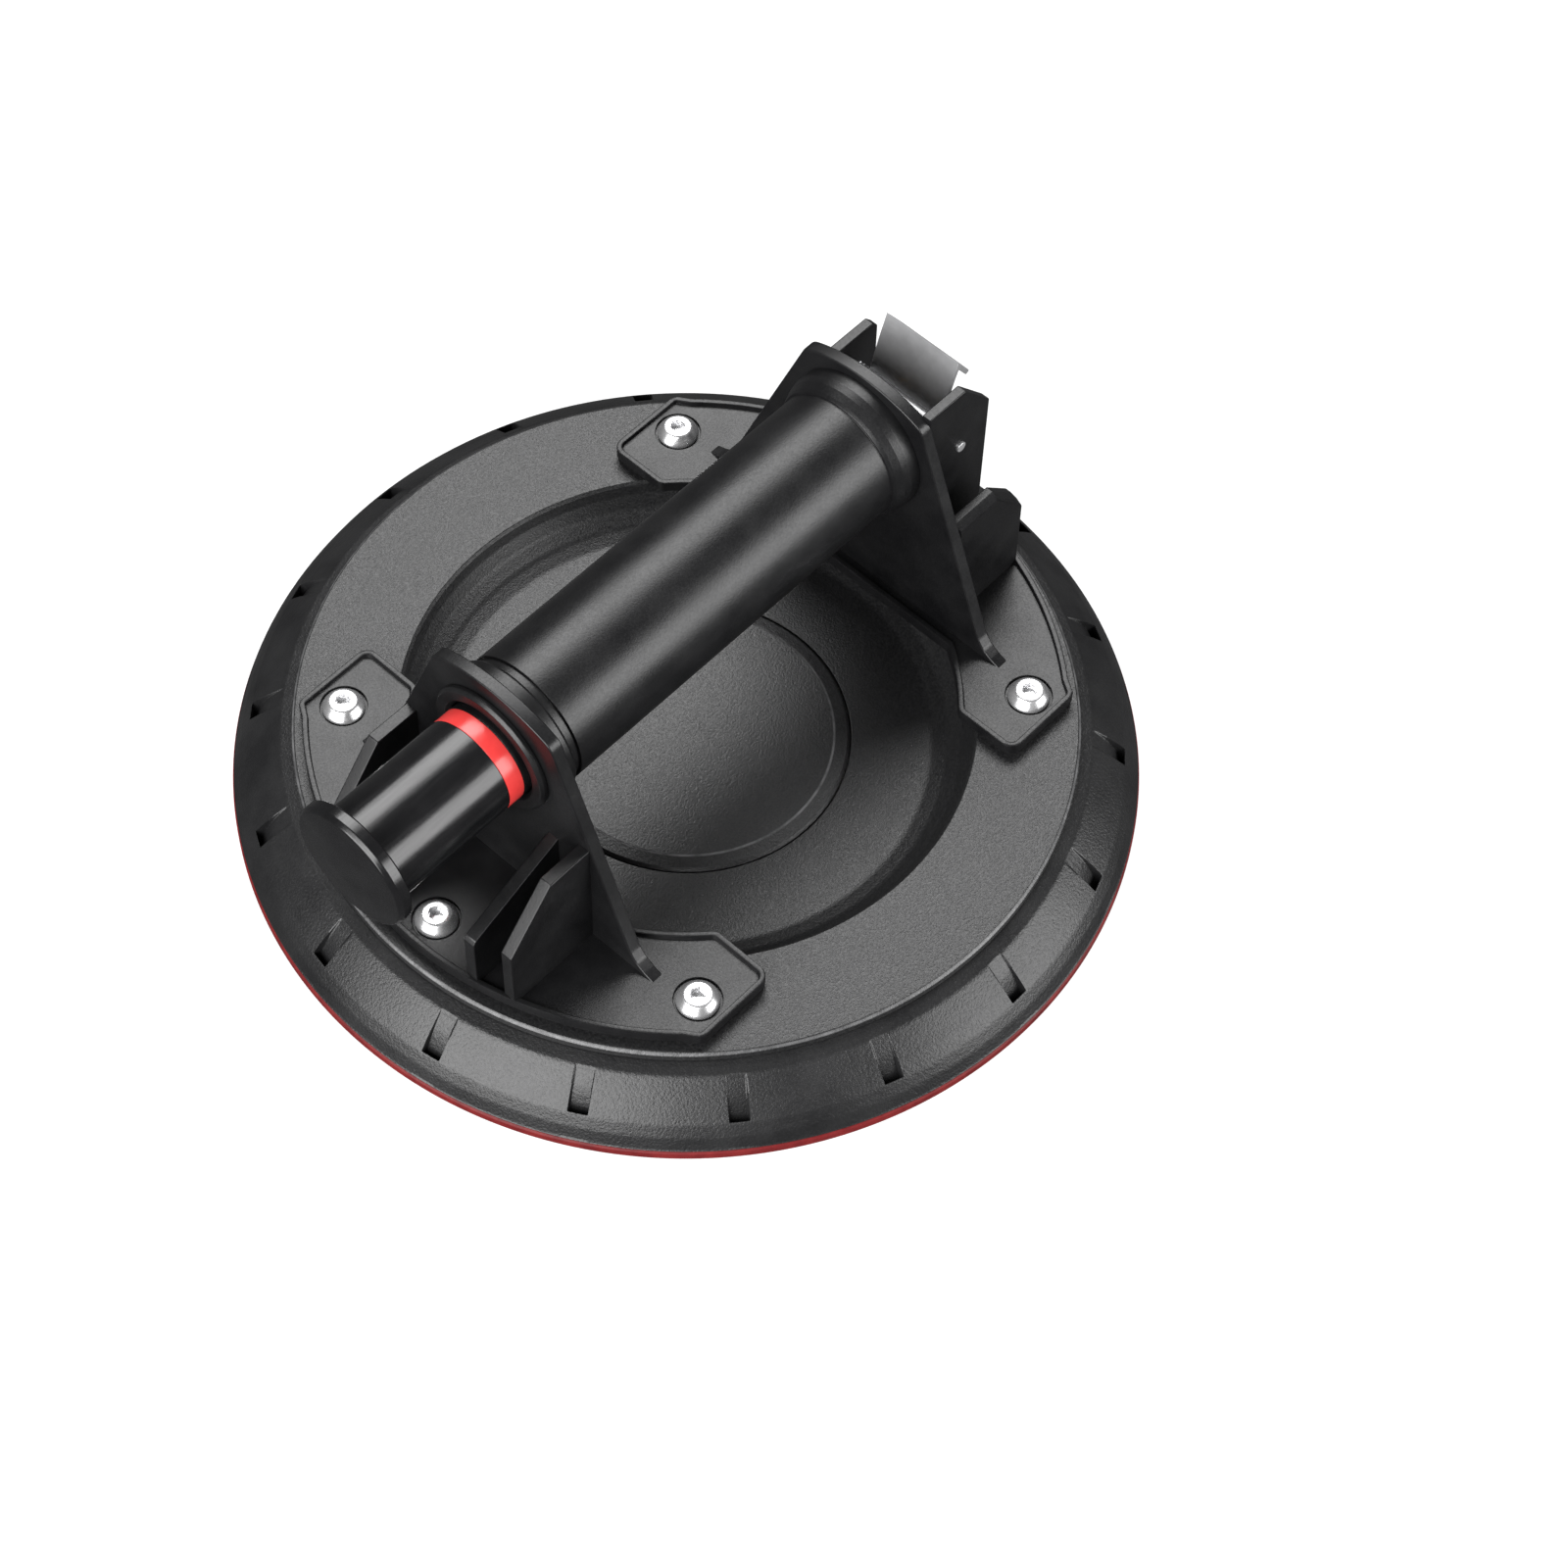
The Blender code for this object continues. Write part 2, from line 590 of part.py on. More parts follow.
def make_lever():
    """A bent steel tab on a rolled knuckle, with an arm below that pushes the valve's stem."""
    knuckle = rod("release_lever", 2.6, -LEVER_HALF, LEVER_HALF, "Y", (PIN_X, 0.0, PIN_Z))
    link_part(knuckle, "lever_steel")

    lean = math.radians(LEVER_TILT)
    up = Vector((math.sin(lean), math.cos(lean)))
    back = Vector((math.cos(lean), -math.sin(lean)))
    start = Vector((PIN_X, PIN_Z)) + up * 1.9 + back * 0.4
    crest = Vector((72.7, 81.2))
    drop = math.radians(LEVER_FLANGE_TILT)
    fall = Vector((math.cos(drop), math.sin(drop)))
    under = Vector((fall.y, -fall.x))
    tab = [start, crest - up * 1.2, crest + back * 0.4, crest + back * 1.3 - up * 0.1]
    tip = crest + back * 1.3 + fall * LEVER_FLANGE
    tab += [tip, tip + under * LEVER_SHEET]
    tab += [crest + back * LEVER_SHEET - up * 1.6, start + back * LEVER_SHEET]
    tab_plate = extruded("lever_tab", [tuple(p) for p in tab], -LEVER_HALF, LEVER_HALF, plane="XZ")
    arm = [(65.8, 66.0), (65.8, 55.9), (66.1, 55.5), (66.7, 55.5), (67.0, 55.9), (67.0, 63.0), (67.2, 66.0)]
    arm_plate = extruded("lever_arm", arm, -3.0, 3.0, plane="XZ")
    combine(knuckle, [tab_plate, arm_plate], "UNION")
    bore = rod("lever_bore", PIN_RADIUS + GAP, -12.0, 12.0, "Y", (PIN_X, 0.0, PIN_Z))
    return combine(knuckle, [bore], "DIFFERENCE")


def make_lever_pin():
    """The pin through both ears, and the small spring on it that holds the lever up."""
    end = EAR_FACE + EAR + 0.6
    link_part(rod("lever_pin", PIN_RADIUS, -end, end, "Y", (PIN_X, 0.0, PIN_Z)), "lever_steel")
    points = coil("Y", (PIN_X, PIN_Z), 2.1, LEVER_HALF + 0.9, EAR_FACE - 0.7, 2.5, 8)
    link_part(wire("lever_spring", points, 0.4), "spring_steel")


# The vacuum line


def make_vacuum_line():
    """A short line from the port in the foot up to the cylinder head."""
    floor = FOOT_FLOOR + GAP
    port_profile = [
        (1.1, 29.5), (2.0, 29.5), (2.0, floor + 1.6), (3.6, floor + 1.6),
        (3.6, floor), (2.4, floor), (2.4, 12.6), (1.1, 12.6),
    ]
    link_part(turned("port_fitting", port_profile, centre=(PORT_X, LINE_Y, 0.0), steps=SMALL_ROUND), "brass")
    head_profile = [
        (1.0, 60.4), (1.7, 60.4), (1.7, 58.2), (3.2, 58.2),
        (3.2, 56.85), (1.8, 56.85), (1.8, 47.5), (1.0, 47.5),
    ]
    link_part(turned("head_fitting", head_profile, "X", (0.0, LINE_Y, LINE_HEAD_Z), SMALL_ROUND), "brass")
    start = Vector((PORT_X, LINE_Y, 29.9))
    end = Vector((60.9, LINE_Y, LINE_HEAD_Z))
    pull = [start, start + Vector((0.0, 0.0, 16.0)), end + Vector((4.5, 0.0, 0.0)), end]
    points = []
    for i in range(13):
        t = i / 12.0
        weights = [(1 - t) ** 3, 3 * t * (1 - t) ** 2, 3 * t * t * (1 - t), t ** 3]
        points.append(sum((w * p for w, p in zip(weights, pull)), Vector()))
    link_part(wire("vacuum_line", points, 2.0), "seal_rubber")
    link_part(rod("filter_disc", 4.7, 4.3, 6.1, centre=(PORT_X, LINE_Y, 0.0)), "filter_felt")


# Everything

make_rubber_pad()
make_sealing_ring()
make_base_plate()
make_centre_disc()
make_foot_gasket(-1)
make_foot_gasket(1)
make_handle()
for index, (screw_x, screw_y) in enumerate(SCREW_PLACES, start=1):
    make_screw(index, screw_x, screw_y)
    make_insert(index, screw_x, screw_y)
make_pump_body()
make_check_valve()
make_plunger()
make_return_spring()
make_release_valve()
make_lever()
make_lever_pin()
make_vacuum_line()

for part in PARTS.objects:
    if part.type == "MESH":
        smooth(part)
bpy.context.view_layer.update()
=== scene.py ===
"""Looks of the vacuum suction cup: fine meshes and procedural finishes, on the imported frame.

Profiles and outlines are in millimetres, and the helpers turn them into metres. Places
come from the frame's boxes and joints; what a box can't say is a named length.
"""

import json
import math

import bmesh
import bpy
import numpy as np
from mathutils import Matrix, Vector


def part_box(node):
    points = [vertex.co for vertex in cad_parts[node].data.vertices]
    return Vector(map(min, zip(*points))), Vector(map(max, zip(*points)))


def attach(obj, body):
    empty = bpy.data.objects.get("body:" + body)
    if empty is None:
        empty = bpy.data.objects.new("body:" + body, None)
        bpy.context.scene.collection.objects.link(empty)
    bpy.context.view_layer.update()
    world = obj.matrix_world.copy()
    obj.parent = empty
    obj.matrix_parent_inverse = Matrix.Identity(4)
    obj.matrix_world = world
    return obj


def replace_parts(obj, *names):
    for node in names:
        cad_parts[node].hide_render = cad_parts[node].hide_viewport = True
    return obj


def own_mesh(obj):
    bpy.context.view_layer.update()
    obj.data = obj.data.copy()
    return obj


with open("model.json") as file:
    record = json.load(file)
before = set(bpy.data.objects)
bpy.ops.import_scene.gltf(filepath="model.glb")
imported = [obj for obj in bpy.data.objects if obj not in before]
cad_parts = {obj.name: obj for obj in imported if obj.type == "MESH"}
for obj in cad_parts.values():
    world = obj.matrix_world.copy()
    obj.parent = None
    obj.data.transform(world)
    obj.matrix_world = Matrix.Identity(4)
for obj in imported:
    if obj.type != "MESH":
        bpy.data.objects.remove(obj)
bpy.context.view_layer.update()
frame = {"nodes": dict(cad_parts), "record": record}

MM = 0.001


# Measures from the frame, in millimetres


def low(node):
    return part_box(node)[0] / MM


def high(node):
    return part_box(node)[1] / MM


def middle(node):
    return (low(node) + high(node)) / 2.0


def joint_place(name):
    joint = next(j for j in frame["record"]["behaviour"]["joints"] if j["name"] == name)
    return Vector(joint["pos_m"]) / MM


PAD_EDGE = high("rubber_pad").x
RING_EDGE = high("sealing_ring").x
PLATE_EDGE = high("base_plate").x
PLATE_TOP = high("base_plate").z
DISC_EDGE = high("centre_disc").x
DISC_TOP = high("centre_disc").z
DISC_FOOT = low("centre_disc").z
FOOT_BOTTOM = high("foot_gasket_near").z + 0.2
AXIS = (low("red_band").z + high("red_band").z) / 2.0
MOUTH = low("mouth_collar").x
BAND_START = low("red_band").x
BAND_END = high("red_band").x
TUBE_START = low("plunger_tube").x
TUBE_END = high("plunger_tube").x
CAP_END = low("thumb_cap").x
LEVER_HALF = high("release_lever").y
PIN = joint_place("lever_hinge")
PIN_END = high("lever_pin").y
SCREWS = [middle(f"handle_screw_{number}") for number in range(1, 7)]
SCREW_SEAT = 21.35
SOCKET = 1.8
PORT = middle("port_fitting")

# Lengths that no box gives
NOTCHES = 18
NOTCH_FIRST = 10.0
NOTCH_HALF = 2.1
NOTCH_FLOOR = [(90.2, 14.9), (91.6, 13.6), (93.0, 12.1), (94.2, 10.5), (95.4, 8.6), (96.8, 5.6), (97.5, 4.2)]
NOTCH_START = NOTCH_FLOOR[0][0]
NOTCH_END = NOTCH_FLOOR[-1][0]
NOTCH_RADIUS = 92.0
NOTCH_SIDE_ROUND = 0.16
NOTCH_END_ROUND = 0.14
PLAIN_COLUMNS = 8
SPOKES_END = 84.0
GRIP_RADIUS = 15.6
BORE = 13.9
PLUNGER_RADIUS = 11.4
LEG_INNER = 53.7
LEG_OUTER = 56.7
FOOT_TOP = 23.0
FOOT_FLOOR = 21.9
FOOT_ARC = 84.3
FOOT_ARC_END = 57.4
FOOT_INNER_ARC = 59.5
FOOT_INNER_START = 43.6
FOOT_INNER_END = 50.3
FOOT_CORNER = 3.0
RIM_WIDTH = 1.3
RIB = 3.0
EAR = 2.4
FAR_GUSSET = 3.9
EAR_FACE = 14.6
RIB_FACE = 14.5
GUSSET_FACE = 23.6
LEVER_SHEET = 1.2
LEVER_TILT = math.radians(17.0)
FLANGE_TILT = math.radians(-55.0)
FLANGE_LENGTH = 7.0
LEVER_BULGE = 0.25
LEVER_CORNER = 2.2
SPRINGS = [
    # node, centre, coil radius, wire radius, turns
    ("return_spring", Vector((0.0, 0.0, AXIS)), 9.0, 0.7, 8),
    ("check_valve_spring", Vector((0.0, 0.0, AXIS)), 3.6, 0.3, 1.5),
    ("valve_spring", middle("valve_guide"), 2.3, 0.25, 3),
]
COIL_STEPS = 24
WIRE_SIDES = 10
# Painted highlight lines: lighter rings of (radius, half width) on the plate's outer bevel and the disc's top
# bevel.
PLATE_HIGHLIGHT_LINES = [(PLATE_EDGE - 0.3, 0.3), (32.7, 0.35)]
CREST = Vector((72.7, 81.2))


# Node helpers


def new_material(name, colour, roughness, metallic=0.0, specular=0.5):
    """A principled material; returns it with its tree and its shader."""
    material = bpy.data.materials.new(name)
    material.use_nodes = True
    tree = material.node_tree
    shader = tree.nodes["Principled BSDF"]
    shader.inputs["Base Color"].default_value = (*colour, 1.0)
    shader.inputs["Roughness"].default_value = roughness
    shader.inputs["Metallic"].default_value = metallic
    shader.inputs["Specular IOR Level"].default_value = specular
    material.diffuse_color = (*colour, 1.0)
    return material, tree, shader


def object_place(tree, stretch=(1.0, 1.0, 1.0)):
    """Object coordinates in millimetres, stretched along an axis if asked."""
    place = tree.nodes.new("ShaderNodeTexCoord")
    scale = tree.nodes.new("ShaderNodeMapping")
    scale.inputs["Scale"].default_value = [s / MM for s in stretch]
    tree.links.new(place.outputs["Object"], scale.inputs["Vector"])
    return scale.outputs["Vector"]


def noise(tree, place, scale, detail=3.0, roughness=0.55):
    node = tree.nodes.new("ShaderNodeTexNoise")
    node.inputs["Scale"].default_value = scale
    node.inputs["Detail"].default_value = detail
    node.inputs["Roughness"].default_value = roughness
    tree.links.new(place, node.inputs["Vector"])
    return node.outputs["Fac"]


def mapped(tree, value, start, end, low_value, high_value):
    node = tree.nodes.new("ShaderNodeMapRange")
    node.inputs["From Min"].default_value = start
    node.inputs["From Max"].default_value = end
    node.inputs["To Min"].default_value = low_value
    node.inputs["To Max"].default_value = high_value
    tree.links.new(value, node.inputs["Value"])
    return node.outputs["Result"]


def added(tree, first, second, weight):
    """first + weight × second."""
    node = tree.nodes.new("ShaderNodeMath")
    node.operation = "MULTIPLY_ADD"
    tree.links.new(second, node.inputs[0])
    node.inputs[1].default_value = weight
    tree.links.new(first, node.inputs[2])
    return node.outputs["Value"]


def tinted(tree, value, stops):
    """A colour from a value, through (position, colour) stops."""
    node = tree.nodes.new("ShaderNodeValToRGB")
    ramp = node.color_ramp
    ramp.elements[0].position, ramp.elements[0].color = stops[0][0], (*stops[0][1], 1.0)
    ramp.elements[1].position, ramp.elements[1].color = stops[-1][0], (*stops[-1][1], 1.0)
    for position, colour in stops[1:-1]:
        ramp.elements.new(position).color = (*colour, 1.0)
    tree.links.new(value, node.inputs["Fac"])
    return node.outputs["Color"]


def math_node(tree, operation, first, second=None):
    """A math node's value, from sockets or numbers."""
    node = tree.nodes.new("ShaderNodeMath")
    node.operation = operation
    for place, value in enumerate((first, second)):
        if isinstance(value, (int, float)):
            node.inputs[place].default_value = value
        elif value is not None:
            tree.links.new(value, node.inputs[place])
    return node.outputs["Value"]


def painted_highlight_rings(tree, circles):
    """Patchy painted highlight lines on circles of (radius, half width) about Z: 1 on them and 0 beside them.
    """
    reach = tree.nodes.new("ShaderNodeVectorMath")
    reach.operation = "LENGTH"
    tree.links.new(object_place(tree, (1.0, 1.0, 0.0)), reach.inputs[0])
    painted_highlight = 0.0
    for radius, half in circles:
        away = math_node(tree, "ABSOLUTE", math_node(tree, "SUBTRACT", reach.outputs["Value"], radius))
        painted_highlight = math_node(tree, "MAXIMUM", mapped(tree, away, 0.4 * half, half, 1.0, 0.0), painted_highlight)
    patches = mapped(tree, noise(tree, object_place(tree), 0.3, 4.0), 0.35, 0.65, 0.35, 1.0)
    return math_node(tree, "MULTIPLY", painted_highlight, patches)


def mixed(tree, factor, first, second):
    node = tree.nodes.new("ShaderNodeMix")
    node.data_type = "RGBA"
    tree.links.new(factor, node.inputs["Factor"])
    colours = [socket for socket in node.inputs if socket.type == "RGBA"]
    tree.links.new(first, colours[0])
    colours[1].default_value = (*second, 1.0)
    return next(socket for socket in node.outputs if socket.type == "RGBA")


def bump(tree, shader, height, depth, strength=1.0):
    """Bump from a height value; depth is in millimetres."""
    node = tree.nodes.new("ShaderNodeBump")
    node.inputs["Strength"].default_value = strength
    node.inputs["Distance"].default_value = depth * MM
    tree.links.new(height, node.inputs["Height"])
    tree.links.new(node.outputs["Normal"], shader.inputs["Normal"])


# Finishes


def pad_rubber():
    """Moulded rubber: leathery grain and slightly chalky patches."""
    material, tree, shader = new_material("pad_rubber", (0.009, 0.009, 0.0095), 0.36, specular=0.5)
    place = object_place(tree)
    grain = added(tree, noise(tree, place, 1.6, 1.0), noise(tree, place, 3.0, 1.0), 0.5)
    patches = noise(tree, place, 0.09, 3.0)
    colour = tinted(tree, patches, [(0.35, (0.006, 0.006, 0.0065)), (0.65, (0.012, 0.012, 0.0125))])
    tree.links.new(colour, shader.inputs["Base Color"])
    tree.links.new(mapped(tree, grain, 0.5, 1.0, 0.34, 0.42), shader.inputs["Roughness"])
    bump(tree, shader, grain, 0.09, 0.8)
    return material


def red_rubber():
    """Softer red rubber with a fine skin and dust in it."""
    material, tree, shader = new_material("red_rubber", (0.13, 0.008, 0.009), 0.5, specular=0.2)
    place = object_place(tree)
    dust = noise(tree, place, 0.25, 4.0)
    colour = tinted(tree, dust, [(0.35, (0.1, 0.006, 0.007)), (0.7, (0.16, 0.012, 0.012))])
    tree.links.new(colour, shader.inputs["Base Color"])
    fine = noise(tree, place, 2.2, 3.0)
    tree.links.new(mapped(tree, fine, 0.3, 0.7, 0.38, 0.55), shader.inputs["Roughness"])
    bump(tree, shader, fine, 0.03, 0.5)
    return material


def plate_coat():
    """Dark grey textured coating: fine sparkling grain and patchy painted highlight lines on its bevelled
    edges.
    """
    material, tree, shader = new_material("plate_coat", (0.011, 0.011, 0.0115), 0.38, specular=0.5)
    place = object_place(tree)
    grain = noise(tree, place, 1.8, 2.0, 0.6)
    speckle = added(tree, grain, noise(tree, place, 4.0, 1.0), 0.5)
    colour = tinted(tree, speckle, [(0.5, (0.006, 0.006, 0.0065)), (1.0, (0.017, 0.017, 0.0175))])
    # Painted highlight: a lighter grey on the bevel rings, where the lights reflect.
    painted_highlight = painted_highlight_rings(tree, PLATE_HIGHLIGHT_LINES)
    tree.links.new(mixed(tree, painted_highlight, colour, (0.11, 0.11, 0.112)), shader.inputs["Base Color"])
    tree.links.new(mapped(tree, grain, 0.3, 0.7, 0.3, 0.46), shader.inputs["Roughness"])
    bump(tree, shader, speckle, 0.12, 0.8)
    return material


def handle_plastic():
    """Black satin moulding with a fine spark-eroded grain."""
    material, tree, shader = new_material("handle_plastic", (0.0055, 0.0055, 0.006), 0.36, specular=0.42)
    place = object_place(tree)
    grain = noise(tree, place, 2.2, 2.0)
    clouds = noise(tree, place, 0.12, 3.0)
    colour = tinted(tree, clouds, [(0.35, (0.004, 0.004, 0.0045)), (0.7, (0.008, 0.008, 0.0085))])
    tree.links.new(colour, shader.inputs["Base Color"])
    uneven = added(tree, grain, clouds, 0.5)
    tree.links.new(mapped(tree, uneven, 0.5, 1.0, 0.3, 0.42), shader.inputs["Roughness"])
    bump(tree, shader, grain, 0.04, 0.6)
    return material


def gloss_plastic():
    """Polished black plastic with faint rubbing marks along its travel."""
    material, tree, shader = new_material("gloss_plastic", (0.006, 0.006, 0.0065), 0.2, specular=0.5)
    along = object_place(tree, (0.08, 1.0, 1.0))
    marks = noise(tree, along, 1.6, 4.0)
    clouds = noise(tree, object_place(tree), 0.15, 2.0)
    colour = tinted(tree, clouds, [(0.35, (0.005, 0.005, 0.0055)), (0.7, (0.008, 0.008, 0.0085))])
    tree.links.new(colour, shader.inputs["Base Color"])
    tree.links.new(mapped(tree, marks, 0.3, 0.7, 0.16, 0.26), shader.inputs["Roughness"])
    bump(tree, shader, marks, 0.006, 0.4)
    return material


def red_band():
    """Glossy red warning band, slightly uneven."""
    material, tree, shader = new_material("red_band", (0.68, 0.045, 0.042), 0.2, specular=0.5)
    place = object_place(tree)
    clouds = noise(tree, place, 0.3, 3.0)
    colour = tinted(tree, clouds, [(0.35, (0.65, 0.042, 0.04)), (0.7, (0.72, 0.05, 0.046))])
    tree.links.new(colour, shader.inputs["Base Color"])
    tree.links.new(mapped(tree, clouds, 0.3, 0.7, 0.16, 0.26), shader.inputs["Roughness"])
    bump(tree, shader, noise(tree, place, 1.8, 2.0), 0.006, 0.4)
    return material


def metal(name, colour, roughness, scale, depth, stretch=(1.0, 1.0, 1.0), metallic=1.0):
    """Metal with fine marks: stretched where it was drawn or brushed, and even where it was plated."""
    material, tree, shader = new_material(name, colour, roughness[0], metallic=metallic)
    place = object_place(tree, stretch)
    marks = noise(tree, place, scale, 4.0)
    stain = noise(tree, object_place(tree), 0.35, 3.0)
    darker = tuple(c * 0.86 for c in colour)
    tree.links.new(tinted(tree, stain, [(0.3, darker), (0.7, colour)]), shader.inputs["Base Color"])
    tree.links.new(mapped(tree, marks, 0.3, 0.7, *roughness), shader.inputs["Roughness"])
    bump(tree, shader, marks, depth, 0.4)
    return material


def seal_rubber():
    """Soft black sealing rubber, matt."""
    material, tree, shader = new_material("seal_rubber", (0.012, 0.012, 0.012), 0.6, specular=0.3)
    place = object_place(tree)
    fine = noise(tree, place, 1.6, 3.0)
    colour = tinted(tree, fine, [(0.3, (0.009, 0.009, 0.009)), (0.7, (0.017, 0.017, 0.017))])
    tree.links.new(colour, shader.inputs["Base Color"])
    tree.links.new(mapped(tree, fine, 0.3, 0.7, 0.5, 0.7), shader.inputs["Roughness"])
    bump(tree, shader, fine, 0.03, 0.5)
    return material


def filter_felt():
    """Pale felt: matted fibres."""
    material, tree, shader = new_material("filter_felt", (0.6, 0.58, 0.52), 0.9, specular=0.2)
    place = object_place(tree, (1.0, 1.0, 2.5))
    fibres = noise(tree, place, 3.0, 6.0, 0.7)
    colour = tinted(tree, fibres, [(0.3, (0.5, 0.48, 0.42)), (0.7, (0.68, 0.66, 0.6))])
    tree.links.new(colour, shader.inputs["Base Color"])
    tree.links.new(mapped(tree, fibres, 0.3, 0.7, 0.8, 1.0), shader.inputs["Roughness"])
    bump(tree, shader, fibres, 0.15, 0.8)
    return material


FINISHES = {
    "pad_rubber": pad_rubber(),
    "red_rubber": red_rubber(),
    "plate_coat": plate_coat(),
    "handle_plastic": handle_plastic(),
    "gloss_plastic": gloss_plastic(),
    "red_band": red_band(),
    "chrome": metal("chrome", (0.93, 0.93, 0.94), (0.24, 0.3), 0.8, 0.002, metallic=0.88),
    "lever_steel": metal("lever_steel", (0.6, 0.6, 0.61), (0.3, 0.36), 2.0, 0.003, (1.0, 0.1, 1.0), 0.7),
    "spring_steel": metal("spring_steel", (0.5, 0.5, 0.52), (0.25, 0.4), 2.0, 0.01),
    "aluminium": metal("aluminium", (0.68, 0.69, 0.7), (0.28, 0.42), 1.5, 0.01, (3.0, 0.3, 0.3)),
    "brass": metal("brass", (0.75, 0.56, 0.25), (0.25, 0.38), 1.6, 0.008),
    "seal_rubber": seal_rubber(),
    "filter_felt": filter_felt(),
}


# Meshes. A ring is a list of points, and a skin goes over rings of the same length.


def softened(corners, closed=True, steps=5):
    """The outline through (u, v, radius) corners, with each corner rounded."""
    points = []
    count = len(corners)
    for index, (u, v, radius) in enumerate(corners):
        here = Vector((u, v))
        if radius <= 0.0 or (not closed and index in (0, count - 1)):
            points.append((u, v))
            continue
        before = Vector(corners[index - 1][:2]) - here
        after = Vector(corners[(index + 1) % count][:2]) - here
        half = before.angle(after) / 2.0
        reach = min(radius / math.tan(half), 0.48 * before.length, 0.48 * after.length)
        first = here + before.normalized() * reach
        last = here + after.normalized() * reach
        for step in range(steps + 1):
            t = step / steps
            points.append(tuple(first * (1 - t) ** 2 + here * 2 * t * (1 - t) + last * t * t))
    return points


def arc(centre, radius, start, end, count):
    """Points along an arc, with the angles in degrees."""
    angles = [math.radians(start + (end - start) * i / (count - 1)) for i in range(count)]
    return [(centre[0] + radius * math.cos(a), centre[1] + radius * math.sin(a)) for a in angles]


def inset_outline(outline, inset):
    """A counter-clockwise outline moved inwards, with mitred corners."""
    points = np.array(outline, float)
    before = points - np.roll(points, 1, axis=0)
    after = np.roll(points, -1, axis=0) - points
    normals = []
    for side in (before, after):
        length = np.linalg.norm(side, axis=1, keepdims=True)
        normals.append(np.stack([-side[:, 1], side[:, 0]], axis=1) / length)
    dot = (normals[0] * normals[1]).sum(axis=1, keepdims=True)
    return points + inset * (normals[0] + normals[1]) / (1.0 + dot)


def rounded_rows(start, end, edge):
    """(inset, level) rows from one face to the other, with both edges rounded."""
    turn = [(edge * (1 - math.sin(t)), edge * (1 - math.cos(t))) for t in np.radians([0.0, 30.0, 60.0, 90.0])]
    return [(i, start + d) for i, d in turn] + [(i, end - d) for i, d in reversed(turn)]


PLANES = {
    "XY": lambda u, v, w: (u, v, w),
    "YZ": lambda u, v, w: (w, u, v),
    "XZ": lambda u, v, w: (u, w, v),
}


def add_rings(bm, rings, closed=False):
    """Adds rings of points in millimetres and the faces between them; returns their vertices."""
    made = [[bm.verts.new(Vector(p) * MM) for p in ring] for ring in rings]
    pairs = list(zip(made, made[1:]))
    if closed:
        pairs.append((made[-1], made[0]))
    for first, second in pairs:
        count = max(len(first), len(second))
        for i in range(count):
            j = (i + 1) % count
            if len(first) == 1:
                bm.faces.new((first[0], second[i], second[j]))
            elif len(second) == 1:
                bm.faces.new((first[i], first[j], second[0]))
            else:
                bm.faces.new((first[i], first[j], second[j], second[i]))
    return made


def ring_edges(ring):
    edges = []
    for first, second in zip(ring, ring[1:] + ring[:1]):
        edges.append(next(e for e in first.link_edges if e.other_vert(first) is second))
    return edges


def fill_between(bm, rings):
    """Fills the flat area between an outline and the holes in it."""
    edges = [edge for ring in rings for edge in ring_edges(ring)]
    bmesh.ops.triangle_fill(bm, use_beauty=True, use_dissolve=False, edges=edges)


def make_piece(name, build, body, slot, nodes, sharp=38.0):
    """A new piece whose mesh is filled by build(bm); it rides on a body and stands for CAD nodes."""
    bm = bmesh.new()
    build(bm)
    bmesh.ops.recalc_face_normals(bm, faces=bm.faces)
    mesh = bpy.data.meshes.new(name)
    bm.to_mesh(mesh)
    bm.free()
    mesh.materials.append(FINISHES[slot])
    mesh.shade_smooth()
    mesh.set_sharp_from_angle(angle=math.radians(sharp))
    piece = bpy.data.objects.new(name, mesh)
    bpy.context.scene.collection.objects.link(piece)
    weighted = piece.modifiers.new("face_normals", "WEIGHTED_NORMAL")
    weighted.keep_sharp = True
    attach(piece, body)
    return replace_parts(piece, *nodes)


def circle(radius, level, centre, axis, steps):
    """A ring of points about an axis through the centre, at a level along it."""
    points = []
    for i in range(steps):
        angle = 2.0 * math.pi * i / steps
        u, v = radius * math.cos(angle), radius * math.sin(angle)
        offset = {"X": (level, u, v), "Y": (v, level, u), "Z": (u, v, level)}[axis]
        points.append(tuple(Vector(centre) + Vector(offset)))
    return points[:1] if radius == 0.0 else points


def turned(name, profile, body, slot, nodes, axis="Z", centre=(0.0, 0.0, 0.0), steps=144):
    """A turned piece from (radius, level) points; it is a ring unless both ends lie on the axis."""
    solid = profile[0][0] == 0.0 and profile[-1][0] == 0.0

    def build(bm):
        add_rings(bm, [circle(r, h, centre, axis, steps) for r, h in profile], closed=not solid)

    return make_piece(name, build, body, slot, nodes)


def slab(name, outline, start, end, plane, edge, body, slot, nodes, holes=(), rows=None):
    """An outline made solid between two levels, with rounded edges and round holes (u, v, radius)."""
    place = PLANES[plane]
    rows = rows or rounded_rows(start, end, edge)

    def build(bm):
        rings = [[place(u, v, level) for u, v in inset_outline(outline, inset)] for inset, level in rows]
        made = add_rings(bm, rings)
        rims = [[], []]
        for u, v, radius in holes:
            hole_rings = []
            for inset, level in rows:
                points = arc((u, v), radius + inset, 0.0, 360.0, 73)[:-1]
                hole_rings.append([place(a, b, level) for a, b in points])
            bore = add_rings(bm, hole_rings)
            rims[0].append(bore[0])
            rims[1].append(bore[-1])
        for cap, hole_rims in zip((made[0], made[-1]), rims):
            if hole_rims:
                fill_between(bm, [cap] + hole_rims)
            else:
                bm.faces.new(cap)

    return make_piece(name, build, body, slot, nodes)


# The pad


